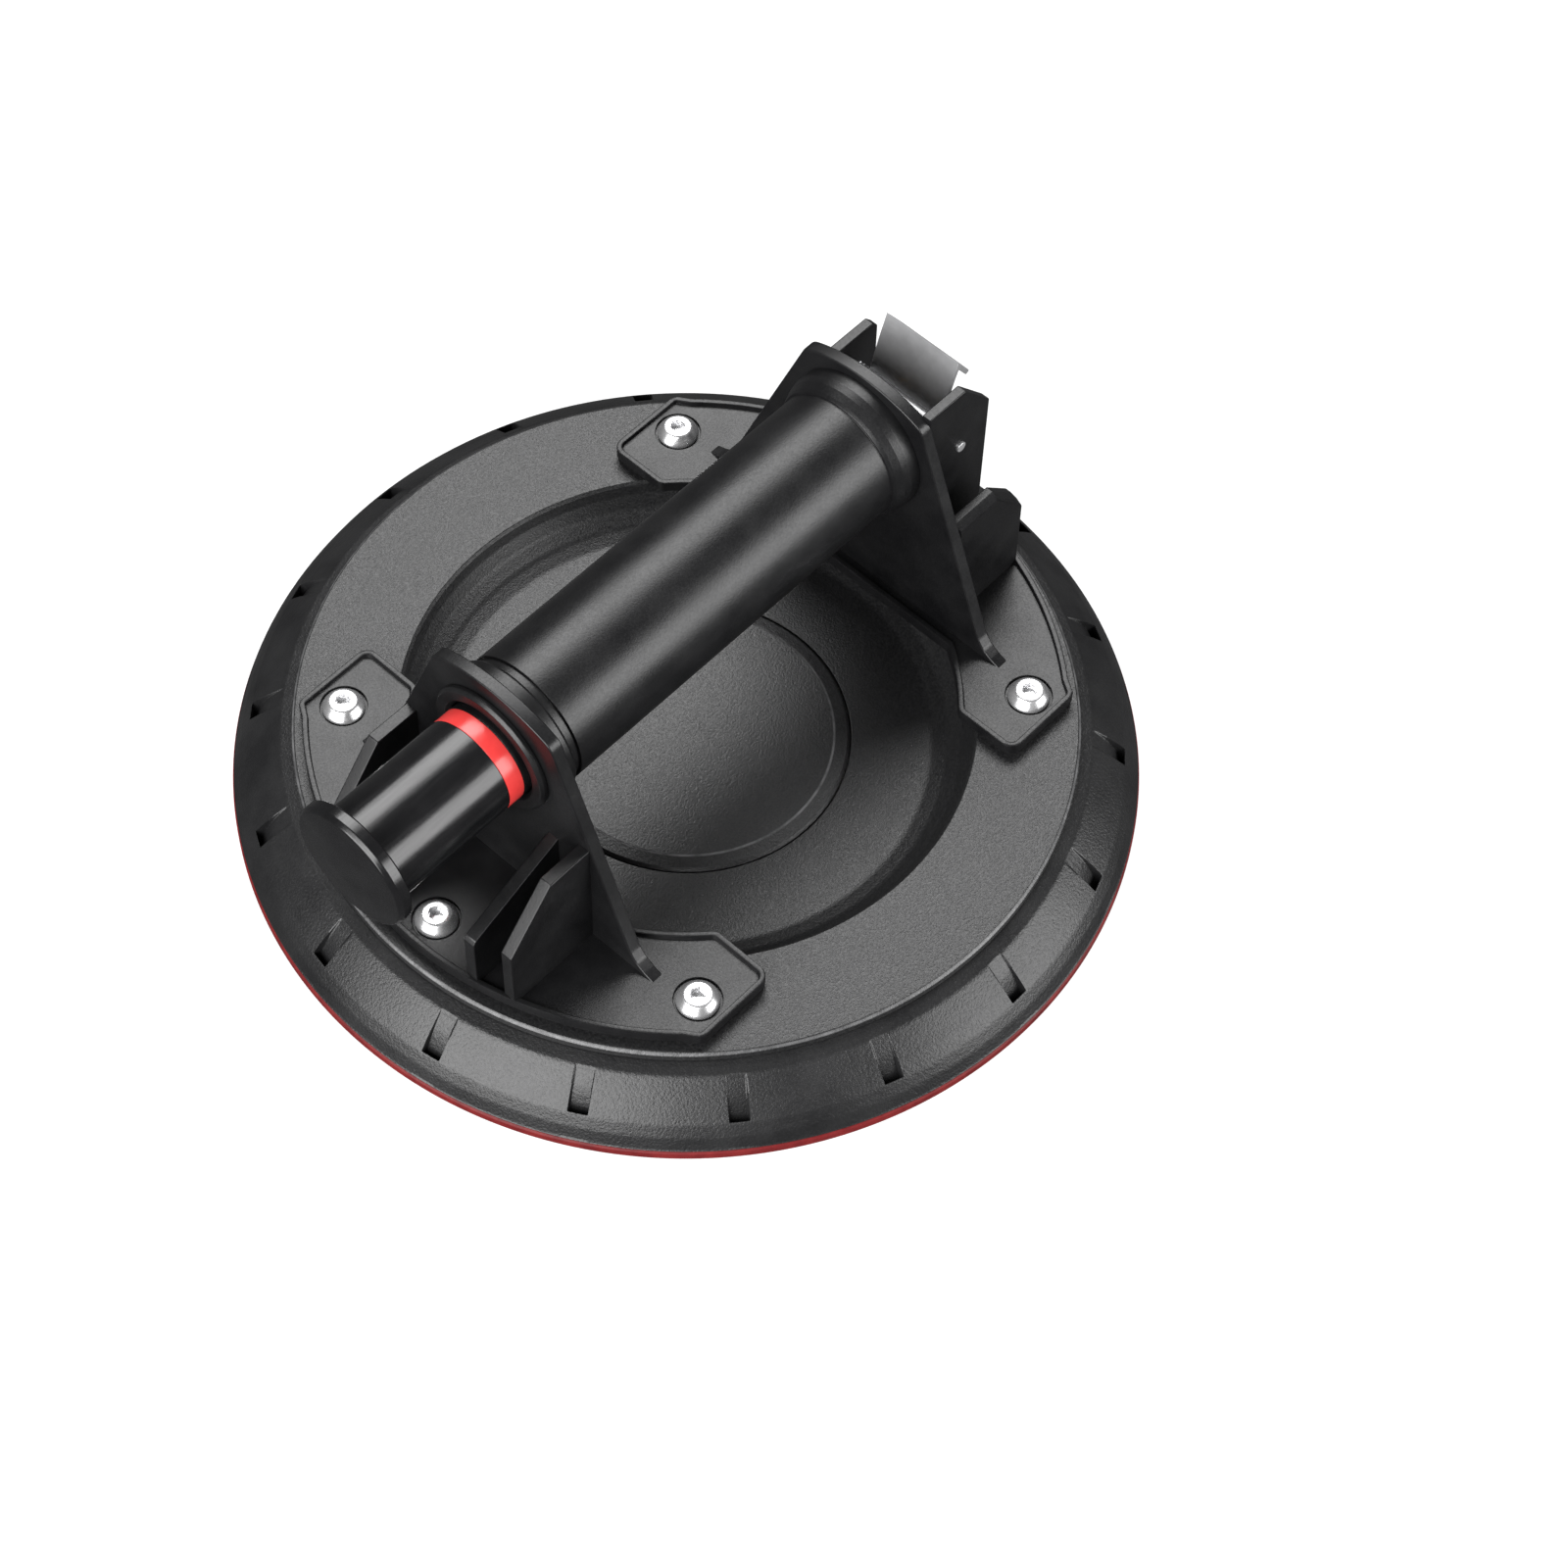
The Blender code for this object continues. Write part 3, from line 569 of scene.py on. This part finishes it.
def rim_heights():
    """The pad's top line outside the plate, from (radius, height) points."""
    corners = [
        (86.9, 16.35, 0.0), (90.0, 15.35, 2.0), (92.6, 13.2, 5.0), (95.5, 10.7, 6.0), (97.9, 8.3, 4.0),
        (99.6, 5.9, 3.0), (101.0, 3.2, 0.0),
    ]
    return np.array(softened(corners, closed=False, steps=8))


def smoothstep(start, end, value):
    t = min(1.0, max(0.0, (value - start) / (end - start)))
    return t * t * (3.0 - 2.0 * t)


def notch_depth(radius, side, surface):
    """How far a notch's floor lies below the pad's top, at a radius and a distance from its middle."""
    if radius < NOTCH_START:
        return 0.0
    depth = max(0.0, surface - np.interp(radius, *zip(*NOTCH_FLOOR)))
    depth *= 1.0 - smoothstep(NOTCH_HALF - NOTCH_SIDE_ROUND, NOTCH_HALF + NOTCH_SIDE_ROUND, abs(side))
    return depth * (1.0 - smoothstep(NOTCH_END - NOTCH_END_ROUND, NOTCH_END + NOTCH_END_ROUND, radius))


def rim_columns():
    """(angle, distance from a notch's middle or None) for each column of points round the pad."""
    near = [0.0, 0.7, 1.3, 1.7, 1.94, 2.02, 2.1, 2.18, 2.26, 2.5, 3.0]
    offsets = [-y for y in reversed(near[1:])] + near
    columns = []
    pitch = 360.0 / NOTCHES
    edge = math.degrees(offsets[-1] / NOTCH_RADIUS)
    step = (pitch - 2.0 * edge) / (PLAIN_COLUMNS + 1)
    for number in range(NOTCHES):
        angle = NOTCH_FIRST + number * pitch
        columns += [(angle, y) for y in offsets]
        columns += [(angle + edge + step * k, None) for k in range(1, PLAIN_COLUMNS + 1)]
    return columns


def make_rubber_pad():
    """The whole pad as one closed solid, with fine rows where the notches are."""
    line = rim_heights()
    radii = list(np.linspace(86.9, 90.0, 10)) + list(np.linspace(90.4, 96.8, 20))
    radii += [97.1, 97.3, 97.38, 97.44, 97.5, 97.56, 97.62, 97.7, 97.9]
    radii += list(np.linspace(98.2, 101.0, 14))
    top = [(r, float(np.interp(r, line[:, 0], line[:, 1]))) for r in radii]
    inner = [(0.0, 6.0), (55.9, 6.0), (64.3, 12.2), (83.75, 12.2), (84.2, 16.35), (86.6, 16.35)]
    outer = [(PAD_EDGE - 0.06, 3.17), (PAD_EDGE, 3.05), (PAD_EDGE - 0.05, 2.98), (PAD_EDGE - 0.2, 2.95)]
    under = [
        (93.75, 2.95), (93.75, 1.55), (92.5, 1.55), (90.0, 2.6), (76.0, 3.35), (60.0, 3.6),
        (30.0, 3.6), (0.0, 3.6),
    ]
    columns = rim_columns()

    def point(radius, height, column, notched):
        angle, side = column
        turn = math.radians(angle)
        if side is not None:
            turn += math.asin(side / max(radius, SPOKES_END))
            if notched:
                height -= notch_depth(radius, side, height)
        return (radius * math.cos(turn), radius * math.sin(turn), height)

    def build(bm):
        rings = []
        for rows, notched in ((inner, False), (top, True), (outer, False), (under, False)):
            for radius, height in rows:
                ring = [point(radius, height, column, notched) for column in columns]
                rings.append(ring[:1] if radius == 0.0 else ring)
        add_rings(bm, rings)

    return make_piece("rubber_rim", build, "cup", "pad_rubber", ["rubber_pad"], sharp=50.0)


def make_sealing_lip():
    top = high("sealing_ring").z
    corners = [
        (94.0, top, 0.2), (RING_EDGE - 0.4, top, 0.4), (RING_EDGE, top - 0.5, 0.4),
        (RING_EDGE, 0.5, 0.4), (RING_EDGE - 0.3, 0.0, 0.2), (94.0, 0.0, 0.2),
    ]
    return turned("sealing_lip", softened(corners), "cup", "red_rubber", ["sealing_ring"], steps=288)


# The plate


def make_plate():
    corners = [
        (0.0, 7.6, 0.0), (DISC_EDGE + 0.3, 7.6, 0.1), (DISC_EDGE + 0.3, 9.0, 0.25), (54.5, 9.0, 5.0),
        (58.2, 10.2, 4.0), (61.0, 12.8, 4.0), (62.8, 16.0, 3.0), (63.5, 18.3, 0.7), (64.1, PLATE_TOP, 0.4),
        (64.9, PLATE_TOP, 0.0), (PLATE_EDGE - 1.5, PLATE_TOP, 0.0), (PLATE_EDGE - 0.7, PLATE_TOP, 0.2),
        (PLATE_EDGE, PLATE_TOP - 0.7, 0.2), (PLATE_EDGE, PLATE_TOP - 1.4, 0.0), (PLATE_EDGE, 16.6, 0.2),
        (83.95, 16.6, 0.2), (83.5, 12.4, 0.2), (64.5, 12.4, 1.0), (56.0, 6.2, 1.0), (0.0, 6.2, 0.0),
    ]
    profile = softened(corners, closed=False)
    return turned("dished_plate", profile, "cup", "plate_coat", ["base_plate"], steps=240)


def make_disc():
    corners = [
        (0.0, DISC_TOP, 0.0), (20.0, DISC_TOP, 0.0), (31.6, DISC_TOP, 0.0), (32.4, DISC_TOP, 0.25),
        (33.0, DISC_TOP - 0.2, 0.2),
        (35.6, DISC_TOP - 0.6, 0.25), (DISC_EDGE, DISC_TOP - 1.3, 0.25), (DISC_EDGE, DISC_FOOT, 0.2),
        (0.0, DISC_FOOT, 0.0),
    ]
    profile = softened(corners, closed=False)
    return turned("dish_disc", profile, "cup", "plate_coat", ["centre_disc"], steps=192)


# The handle


def foot_outline(side):
    """A foot's outline, drawn in the +X half and turned round for the other side."""
    reach = math.degrees(math.asin(FOOT_ARC_END / FOOT_ARC))
    start = math.degrees(math.acos(FOOT_INNER_END / FOOT_INNER_ARC))
    end = math.degrees(math.asin(FOOT_INNER_START / FOOT_INNER_ARC))
    half = arc((0.0, 0.0), FOOT_ARC, 0.0, reach, 33)
    half += arc((58.0, 58.0), FOOT_CORNER, 52.0, 90.0, 6)
    half += arc((41.6, 58.0), FOOT_CORNER, 90.0, 180.0, 10)
    half += [(38.6, 46.3), (38.8, 45.4), (39.3, 44.7)]
    half += arc((0.0, 0.0), FOOT_INNER_ARC, end, start, 12)
    outline = half + [(x, -y) for x, y in reversed(half[1:])]
    return [(side * x, side * y) for x, y in outline]


def make_foot(side):
    """A tray with a rounded rim, and a pocket with a hole for each screw."""
    outline = foot_outline(side)
    rows = [
        (0.25, FOOT_BOTTOM), (0.0, FOOT_BOTTOM + 0.25), (0.0, FOOT_TOP - 0.3), (0.09, FOOT_TOP - 0.09),
        (0.3, FOOT_TOP), (RIM_WIDTH - 0.3, FOOT_TOP), (RIM_WIDTH - 0.09, FOOT_TOP - 0.09),
        (RIM_WIDTH, FOOT_TOP - 0.3), (RIM_WIDTH, FOOT_FLOOR + 0.3), (RIM_WIDTH + 0.09, FOOT_FLOOR + 0.09),
        (RIM_WIDTH + 0.3, FOOT_FLOOR),
    ]
    pocket = [
        (5.45, FOOT_FLOOR), (5.27, FOOT_FLOOR - 0.07), (5.2, FOOT_FLOOR - 0.25), (5.2, SCREW_SEAT - 0.15),
        (2.8, SCREW_SEAT - 0.15), (2.8, FOOT_BOTTOM),
    ]
    places = [place for place in SCREWS if place.x * side > 0]
    holes = [(place, pocket) for place in places]
    if side > 0:
        holes.append((PORT, [(2.7, FOOT_FLOOR), (2.7, FOOT_BOTTOM)]))

    def build(bm):
        rings = [[(u, v, level) for u, v in inset_outline(outline, inset)] for inset, level in rows]
        made = add_rings(bm, rings)
        tops = [made[-1]]
        bottoms = [made[0]]
        for place, profile in holes:
            centre = (place.x, place.y, 0.0)
            bore = add_rings(bm, [circle(r, h, centre, "Z", 64) for r, h in profile])
            tops.append(bore[0])
            bottoms.append(bore[-1])
        fill_between(bm, tops)
        fill_between(bm, bottoms)

    name = "foot_far" if side > 0 else "foot_near"
    return make_piece(name, build, "cup", "handle_plastic", ["handle"])


def leg_outline():
    """An end plate's outline in (y, z), narrow at the grip and wide at the foot, counter-clockwise."""
    top = arc((0.0, 46.5), 39.0, 90.0, 69.5, 9)
    corners = [
        (*top[-1], 0.0), (16.6, 81.8, 4.0), (37.6, 26.6, 4.0), (39.3, 24.2, 3.0), (41.6, 22.8, 3.0),
        (44.3, 21.75, 0.4), (44.3, FOOT_BOTTOM + 0.3, 0.0),
    ]
    half = top + softened(corners, closed=False)[1:]
    outline = [(-y, z) for y, z in half[1:]]
    return outline + [(y, z) for y, z in reversed(half)]


def make_end_plate(side):
    start, end = sorted((side * LEG_INNER, side * LEG_OUTER))
    if side > 0:
        valve = middle("valve_guide")
        line = middle("head_fitting")
        holes = [(valve.y, valve.z, 2.85), (line.y, line.z, 2.0)]
    else:
        holes = [(0.0, AXIS, BORE)]
    name = "end_plate_far" if side > 0 else "end_plate_near"
    outline = leg_outline()
    return slab(name, outline, start, end, "YZ", 0.35, "cup", "handle_plastic", ["handle"], holes)


def make_grip():
    """The grip's tube: a grooved collar at the mouth, a flare at the far end, and the pump's bore."""
    inner = LEG_INNER + 0.5
    corners = [
        (17.6, inner, 0.0), (17.6, 50.9, 0.4), (17.2, 49.2, 0.6), (16.5, 47.4, 0.5), (16.1, 46.7, 0.15),
        (GRIP_RADIUS, 46.6, 0.1), (GRIP_RADIUS, 0.0, 0.0), (GRIP_RADIUS, -47.3, 0.15), (14.95, -47.5, 0.1),
        (14.95, -49.5, 0.1), (16.2, -49.6, 0.15), (16.6, -50.2, 0.3), (16.6, -inner, 0.0),
        (BORE, -inner, 0.0), (BORE, inner, 0.0),
    ]
    profile = softened(corners)
    return turned("grip", profile, "cup", "handle_plastic", ["handle"], "X", (0.0, 0.0, AXIS), 160)


def rib_shapes(side):
    """Each rib's name, its (x, z) outline with radii, and its faces' distances from the middle, signed."""
    root = LEG_OUTER - 0.3
    base = FOOT_BOTTOM + 0.5
    if side < 0:
        web = [(root, 49.3, 0), (81.2, 37.9, 0.9), (81.9, 36.9, 0.5), (81.9, base, 0), (root, base, 0)]
        gusset = [(root, 54.5, 0), (67.8, 54.5, 0.6), (80.0, 39.6, 0.8), (80.0, base, 0), (root, base, 0)]
        inner = (RIB_FACE, RIB_FACE + RIB)
        outer = (GUSSET_FACE, GUSSET_FACE + RIB)
        webs = {"left": web, "right": web}
    else:
        tall = [(root, 83.3, 0), (67.6, 83.3, 0.5), (76.3, 73.1, 0.8), (76.6, base, 0), (root, base, 0)]
        short = [(root, 74.0, 0), (74.0, 74.0, 0.5), (75.6, 72.2, 0.5), (75.8, base, 0), (root, base, 0)]
        gusset = [
            (root, 54.5, 0), (69.6, 54.5, 0.6), (76.6, 47.6, 1.5), (79.1, 43.1, 1.5), (79.6, base, 0),
            (root, base, 0),
        ]
        inner = (EAR_FACE, EAR_FACE + EAR)
        outer = (GUSSET_FACE, GUSSET_FACE + FAR_GUSSET)
        webs = {"left": short, "right": tall}
    shapes = []
    for hand, sign in (("left", 1.0), ("right", -1.0)):
        shapes.append((f"inner_{hand}", webs[hand], [sign * v for v in inner]))
        shapes.append((f"outer_{hand}", gusset, [sign * v for v in outer]))
    return shapes


def bevelled_rows(inner, outer):
    """Rows of a thick rib: a small round at its inner face and a wide, shallow bevel to its outer face."""
    sign = 1.0 if outer > 0 else -1.0
    rows = [(0.3, inner), (0.09, inner + sign * 0.09), (0.0, inner + sign * 0.3)]
    rows += [(0.0, outer - sign * 2.25), (0.05, outer - sign * 2.0), (0.6, outer - sign * 0.3)]
    rows += [(0.72, outer - sign * 0.08), (0.95, outer)]
    return rows if outer > 0 else rows[::-1]


def make_ribs(side):
    end = "far" if side > 0 else "near"
    for name, corners, faces in rib_shapes(side):
        outline = [(side * x, z) for x, z in softened(corners, steps=4)]
        if side > 0:
            outline.reverse()
        thick = abs(faces[1] - faces[0]) > RIB
        rows = bevelled_rows(*faces) if thick else rounded_rows(*sorted(faces), 0.3)
        slab(f"rib_{end}_{name}", outline, *faces, "XZ", 0.3, "cup", "handle_plastic", ["handle"], rows=rows)


# Fasteners


def hexagon(radius, level, centre, steps):
    """A ring of points on a hexagon's outline."""
    points = []
    for i in range(steps):
        angle = 2.0 * math.pi * i / steps
        within = (angle + math.pi / 6.0) % (math.pi / 3.0) - math.pi / 6.0
        reach = radius * math.cos(math.pi / 6.0) / math.cos(within)
        offset = Vector((reach * math.cos(angle), reach * math.sin(angle), level))
        points.append(tuple(Vector(centre) + offset))
    return points


def make_screw(number):
    """A button-head socket screw, with a domed head and a chamfered socket."""
    place = SCREWS[number - 1]
    centre = (place.x, place.y, 0.0)
    top = high(f"handle_screw_{number}").z
    bottom = low(f"handle_screw_{number}").z
    steps = 72
    head = [
        (2.45, bottom), (2.45, SCREW_SEAT), (4.55, SCREW_SEAT), (4.72, SCREW_SEAT + 0.12),
        (4.75, SCREW_SEAT + 0.35), (4.7, SCREW_SEAT + 0.6), (4.4, SCREW_SEAT + 1.1),
        (3.95, SCREW_SEAT + 1.7), (3.5, SCREW_SEAT + 2.25), (3.25, SCREW_SEAT + 2.52), (3.0, top - 0.07),
        (2.7, top - 0.01), (2.3, top),
    ]

    def build(bm):
        rings = [circle(0.0, bottom, centre, "Z", steps)]
        rings += [circle(r, h, centre, "Z", steps) for r, h in head]
        rings += [hexagon(SOCKET + 0.15, top, centre, steps), hexagon(SOCKET, top - 0.12, centre, steps)]
        rings += [hexagon(SOCKET, top - 1.9, centre, steps), circle(0.0, top - 2.3, centre, "Z", steps)]
        add_rings(bm, rings)

    return make_piece(f"button_screw_{number}", build, "cup", "chrome", [f"handle_screw_{number}"])


# The pump's visible pieces


def make_mouth_collar():
    shoulder = -(LEG_OUTER + 0.15)
    corners = [
        (11.75, -54.2, 0.1), (13.75, -54.2, 0.1), (13.75, shoulder, 0.05), (15.5, shoulder, 0.1),
        (15.5, MOUTH + 0.75, 0.5), (14.9, MOUTH, 0.35), (12.6, MOUTH, 0.5), (11.75, MOUTH + 0.95, 0.5),
    ]
    profile = softened(corners)
    centre = (0.0, 0.0, AXIS)
    return turned("mouth_ring", profile, "cup", "handle_plastic", ["mouth_collar"], "X", centre, 144)


def make_plunger():
    """The tube, the band in its groove, and the crowned cap; they slide together."""
    centre = (0.0, 0.0, AXIS)
    tube = [
        (9.4, TUBE_END, 0.1), (PLUNGER_RADIUS, TUBE_END, 0.15), (PLUNGER_RADIUS, BAND_END + 0.1, 0.08),
        (10.9, BAND_END + 0.1, 0.0), (10.9, BAND_START - 0.1, 0.0), (PLUNGER_RADIUS, BAND_START - 0.1, 0.08),
        (PLUNGER_RADIUS, TUBE_START, 0.1), (9.4, TUBE_START, 0.1),
    ]
    turned("plunger_skin", softened(tube), "plunger", "gloss_plastic", ["plunger_tube"], "X", centre)
    band = [
        (PLUNGER_RADIUS, BAND_END, 0.1), (PLUNGER_RADIUS, BAND_START, 0.1), (11.0, BAND_START, 0.0),
        (11.0, BAND_END, 0.0),
    ]
    turned("warning_band", softened(band), "plunger", "red_band", ["red_band"], "X", centre)
    back = -93.7
    cap = [
        (0.0, -86.0, 0.0), (9.2, -86.0, 0.2), (9.2, back, 0.1), (14.4, back, 0.25), (14.8, back - 0.4, 0.2),
        (14.8, -96.2, 0.6), (14.2, -97.25, 0.6), (10.0, -97.5, 2.0), (5.0, CAP_END + 0.03, 2.0),
        (0.0, CAP_END, 0.0),
    ]
    profile = softened(cap, closed=False)
    turned("thumb_button", profile, "plunger", "gloss_plastic", ["thumb_cap"], "X", centre, 144)


# The release lever


def lever_line():
    """The middle line of the lever's sheet in (x, z), with a sharp bend at its crest."""
    up = Vector((math.sin(LEVER_TILT), math.cos(LEVER_TILT)))
    back = Vector((math.cos(LEVER_TILT), -math.sin(LEVER_TILT)))
    fall = Vector((math.cos(FLANGE_TILT), math.sin(FLANGE_TILT)))
    under = Vector((fall.y, -fall.x))
    half = LEVER_SHEET / 2.0
    start = Vector((PIN.x, PIN.z)) + up * 1.5 + back * (0.4 + half)
    shoulder = CREST + back * 1.3 + under * half
    tip = shoulder + fall * FLANGE_LENGTH
    gap = shoulder - start
    length = (gap.x * fall.y - gap.y * fall.x) / (up.x * fall.y - up.y * fall.x)
    face = []
    for step in range(13):
        t = step / 12.0
        bulge = LEVER_BULGE * 4.0 * t * (1.0 - t) * (1.0 + 0.5 * t)
        face.append(tuple(start + up * (length * t) - back * bulge))
    return face + [tuple(tip)]


def section(place, across, width, thickness, edge):
    """A rounded rectangle of points about a place on the sheet's middle line."""
    corners = [
        (width, thickness / 2.0, edge), (-width, thickness / 2.0, edge),
        (-width, -thickness / 2.0, edge), (width, -thickness / 2.0, edge),
    ]
    return [(place.x + across.x * v, u, place.y + across.y * v) for u, v in softened(corners, steps=4)]


def lever_rows(line):
    """The line's points again, with more of them towards its tip."""
    points = [Vector(p) for p in line]
    start, tip = points[-2], points[-1]
    length = (tip - start).length
    tail = [LEVER_CORNER, 1.9, 1.6, 1.3, 1.0, 0.7, 0.45, 0.25, 0.1, 0.0]
    return points[:-1] + [tip + (start - tip) * (d / length) for d in tail]


def make_lever():
    """The lever: a bent sheet with rounded corners, a rolled knuckle, and an arm to the valve."""
    points = lever_rows(lever_line())
    ways = [(b - a).normalized() for a, b in zip(points, points[1:])]

    def build(bm):
        rings = []
        for index, place in enumerate(points):
            along = ways[max(0, index - 1)] + ways[min(len(ways) - 1, index)]
            mitre = 2.0 / along.length
            along.normalize()
            across = Vector((-along.y, along.x))
            left = (place - points[-1]).length
            width = LEVER_HALF - 0.02
            thickness = LEVER_SHEET
            if left < LEVER_CORNER:
                width -= LEVER_CORNER - math.sqrt(LEVER_CORNER ** 2 - (LEVER_CORNER - left) ** 2)
                thickness -= 0.5 * max(0.0, 0.25 - left)
            rings.append(section(place, across, width, thickness * mitre, 0.28))
        made = add_rings(bm, rings)
        bm.faces.new(made[0])
        bm.faces.new(made[-1])

    make_piece("lever_sheet", build, "lever", "lever_steel", ["release_lever"])
    knuckle = [
        (2.6, LEVER_HALF, 0.2), (2.6, -LEVER_HALF, 0.2), (1.5, -LEVER_HALF, 0.1), (1.5, LEVER_HALF, 0.1),
    ]
    centre = (PIN.x, 0.0, PIN.z)
    turned("lever_knuckle", softened(knuckle), "lever", "lever_steel", ["release_lever"], "Y", centre, 72)
    arm = softened([
        (65.8, 66.0, 0.0), (65.8, 55.5, 0.4), (67.0, 55.5, 0.4), (67.0, 63.0, 0.4), (67.2, 66.0, 0.0),
    ])
    slab("lever_arm", arm, -3.0, 3.0, "XZ", 0.2, "lever", "lever_steel", ["release_lever"])


def make_pin():
    profile = softened([
        (0.0, PIN_END, 0.0), (1.28, PIN_END, 0.25), (1.28, -PIN_END, 0.25), (0.0, -PIN_END, 0.0),
    ], closed=False)
    centre = (PIN.x, 0.0, PIN.z)
    return turned("hinge_pin", profile, "cup", "lever_steel", ["lever_pin"], "Y", centre, 48)


def make_spring(node, centre, radius, wire, turns):
    """A coil along X in a CAD spring's place."""
    start, end = low(node).x + wire, high(node).x - wire
    count = round(turns * COIL_STEPS)

    def build(bm):
        rings = []
        for step in range(count + 1):
            angle = 2.0 * math.pi * step / COIL_STEPS
            radial = Vector((0.0, math.cos(angle), math.sin(angle)))
            place = Vector((start + (end - start) * step / count, centre.y, centre.z)) + radial * radius
            across = Vector((1.0, 0.0, 0.0))
            rings.append([
                place + radial * (wire * math.cos(a)) + across * (wire * math.sin(a))
                for a in np.linspace(0.0, 2.0 * math.pi, WIRE_SIDES, endpoint=False)
            ])
        made = add_rings(bm, rings)
        bm.faces.new(made[0])
        bm.faces.new(made[-1])

    piece = make_piece(node.replace("spring", "coil"), build, "cup", "spring_steel", [node])
    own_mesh(piece)


def finish_cad_nodes():
    """Gives each CAD node that still shows its procedural finish."""
    slots = {row["node"]: row["material_slot"] for row in frame["record"]["subparts"]}
    for name, obj in frame["nodes"].items():
        for place in obj.material_slots:
            place.material = FINISHES[slots[name]]


# Stage, lights and camera, in metres

FLOOR_HALF = 6.0
FLOOR_DROP = 0.00005
LIGHT_DISTANCE = 2.4
LIGHT_AIM = Vector((0.0, 0.0, 0.04))
SOFTBOXES = [
    # name, direction, width, height, radiance
    ("softbox_over", (0.41, 0.41, 0.81), 1.8, 1.2, 8.0),
    ("softbox_front", (0.41, -0.87, 0.29), 1.9, 1.4, 7.0),
    ("softbox_side", (-0.88, -0.1, 0.47), 2.6, 2.0, 8.3),
]


def make_floor():
    """A wide pale floor that is lit evenly."""
    mesh = bpy.data.meshes.new("floor")
    bm = bmesh.new()
    bmesh.ops.create_grid(bm, x_segments=8, y_segments=8, size=FLOOR_HALF)
    bm.to_mesh(mesh)
    bm.free()
    floor = bpy.data.objects.new("floor", mesh)
    floor.location.z = -FLOOR_DROP
    bpy.context.scene.collection.objects.link(floor)
    material, _, shader = new_material("floor", (0.25, 0.25, 0.25), 0.9, specular=0.0)
    shader.inputs["Emission Color"].default_value = (1.0, 1.0, 1.0, 1.0)
    shader.inputs["Emission Strength"].default_value = 0.85
    material.cycles.emission_sampling = "NONE"
    mesh.materials.append(material)
    floor.visible_glossy = False


def make_softbox(name, direction, wide, tall, radiance):
    """A rectangular light towards the object, with its long side level."""
    light = bpy.data.lights.new(name, "AREA")
    light.shape = "RECTANGLE"
    light.size = wide
    light.size_y = tall
    light.energy = radiance * math.pi * wide * tall
    lamp = bpy.data.objects.new(name, light)
    back = Vector(direction).normalized()
    right = Vector((0.0, 0.0, 1.0)).cross(back).normalized()
    up = back.cross(right)
    turn = Matrix((right, up, back)).transposed().to_4x4()
    lamp.matrix_world = Matrix.Translation(back * LIGHT_DISTANCE + LIGHT_AIM) @ turn
    bpy.context.scene.collection.objects.link(lamp)


def make_world():
    world = bpy.data.worlds.new("studio")
    world.use_nodes = True
    background = world.node_tree.nodes["Background"]
    background.inputs["Color"].default_value = (1.0, 1.0, 1.0, 1.0)
    background.inputs["Strength"].default_value = 0.1
    bpy.context.scene.world = world


CAMERA_AZIMUTH = math.radians(-49.22)
CAMERA_ELEVATION = math.radians(57.05)
CAMERA_ROLL = math.radians(2.34)
CAMERA_DISTANCE = 0.75
CAMERA_TARGET = Vector((-0.00659, -0.03466, 0.03239))
CAMERA_LENS = 80.83


def make_camera():
    data = bpy.data.cameras.new("camera")
    data.lens = CAMERA_LENS
    data.sensor_width = 36.0
    camera = bpy.data.objects.new("camera", data)
    a, e, roll = CAMERA_AZIMUTH, CAMERA_ELEVATION, CAMERA_ROLL
    back = Vector((math.sin(a) * math.cos(e), -math.cos(a) * math.cos(e), math.sin(e)))
    level = Vector((math.cos(a), math.sin(a), 0.0))
    upright = back.cross(level)
    right = level * math.cos(roll) + upright * math.sin(roll)
    up = upright * math.cos(roll) - level * math.sin(roll)
    turn = Matrix((right, up, back)).transposed().to_4x4()
    camera.matrix_world = Matrix.Translation(CAMERA_TARGET + back * CAMERA_DISTANCE) @ turn
    bpy.context.scene.collection.objects.link(camera)
    bpy.context.scene.camera = camera


# Everything

make_rubber_pad()
make_sealing_lip()
make_plate()
make_disc()
for end in (-1, 1):
    make_foot(end)
    make_end_plate(end)
    make_ribs(end)
make_grip()
for screw in range(1, 7):
    make_screw(screw)
make_mouth_collar()
make_plunger()
make_lever()
make_pin()
for spring in SPRINGS:
    make_spring(*spring)
finish_cad_nodes()

make_floor()
for softbox in SOFTBOXES:
    make_softbox(*softbox)
make_world()
make_camera()
bpy.context.scene.view_settings.view_transform = "Standard"
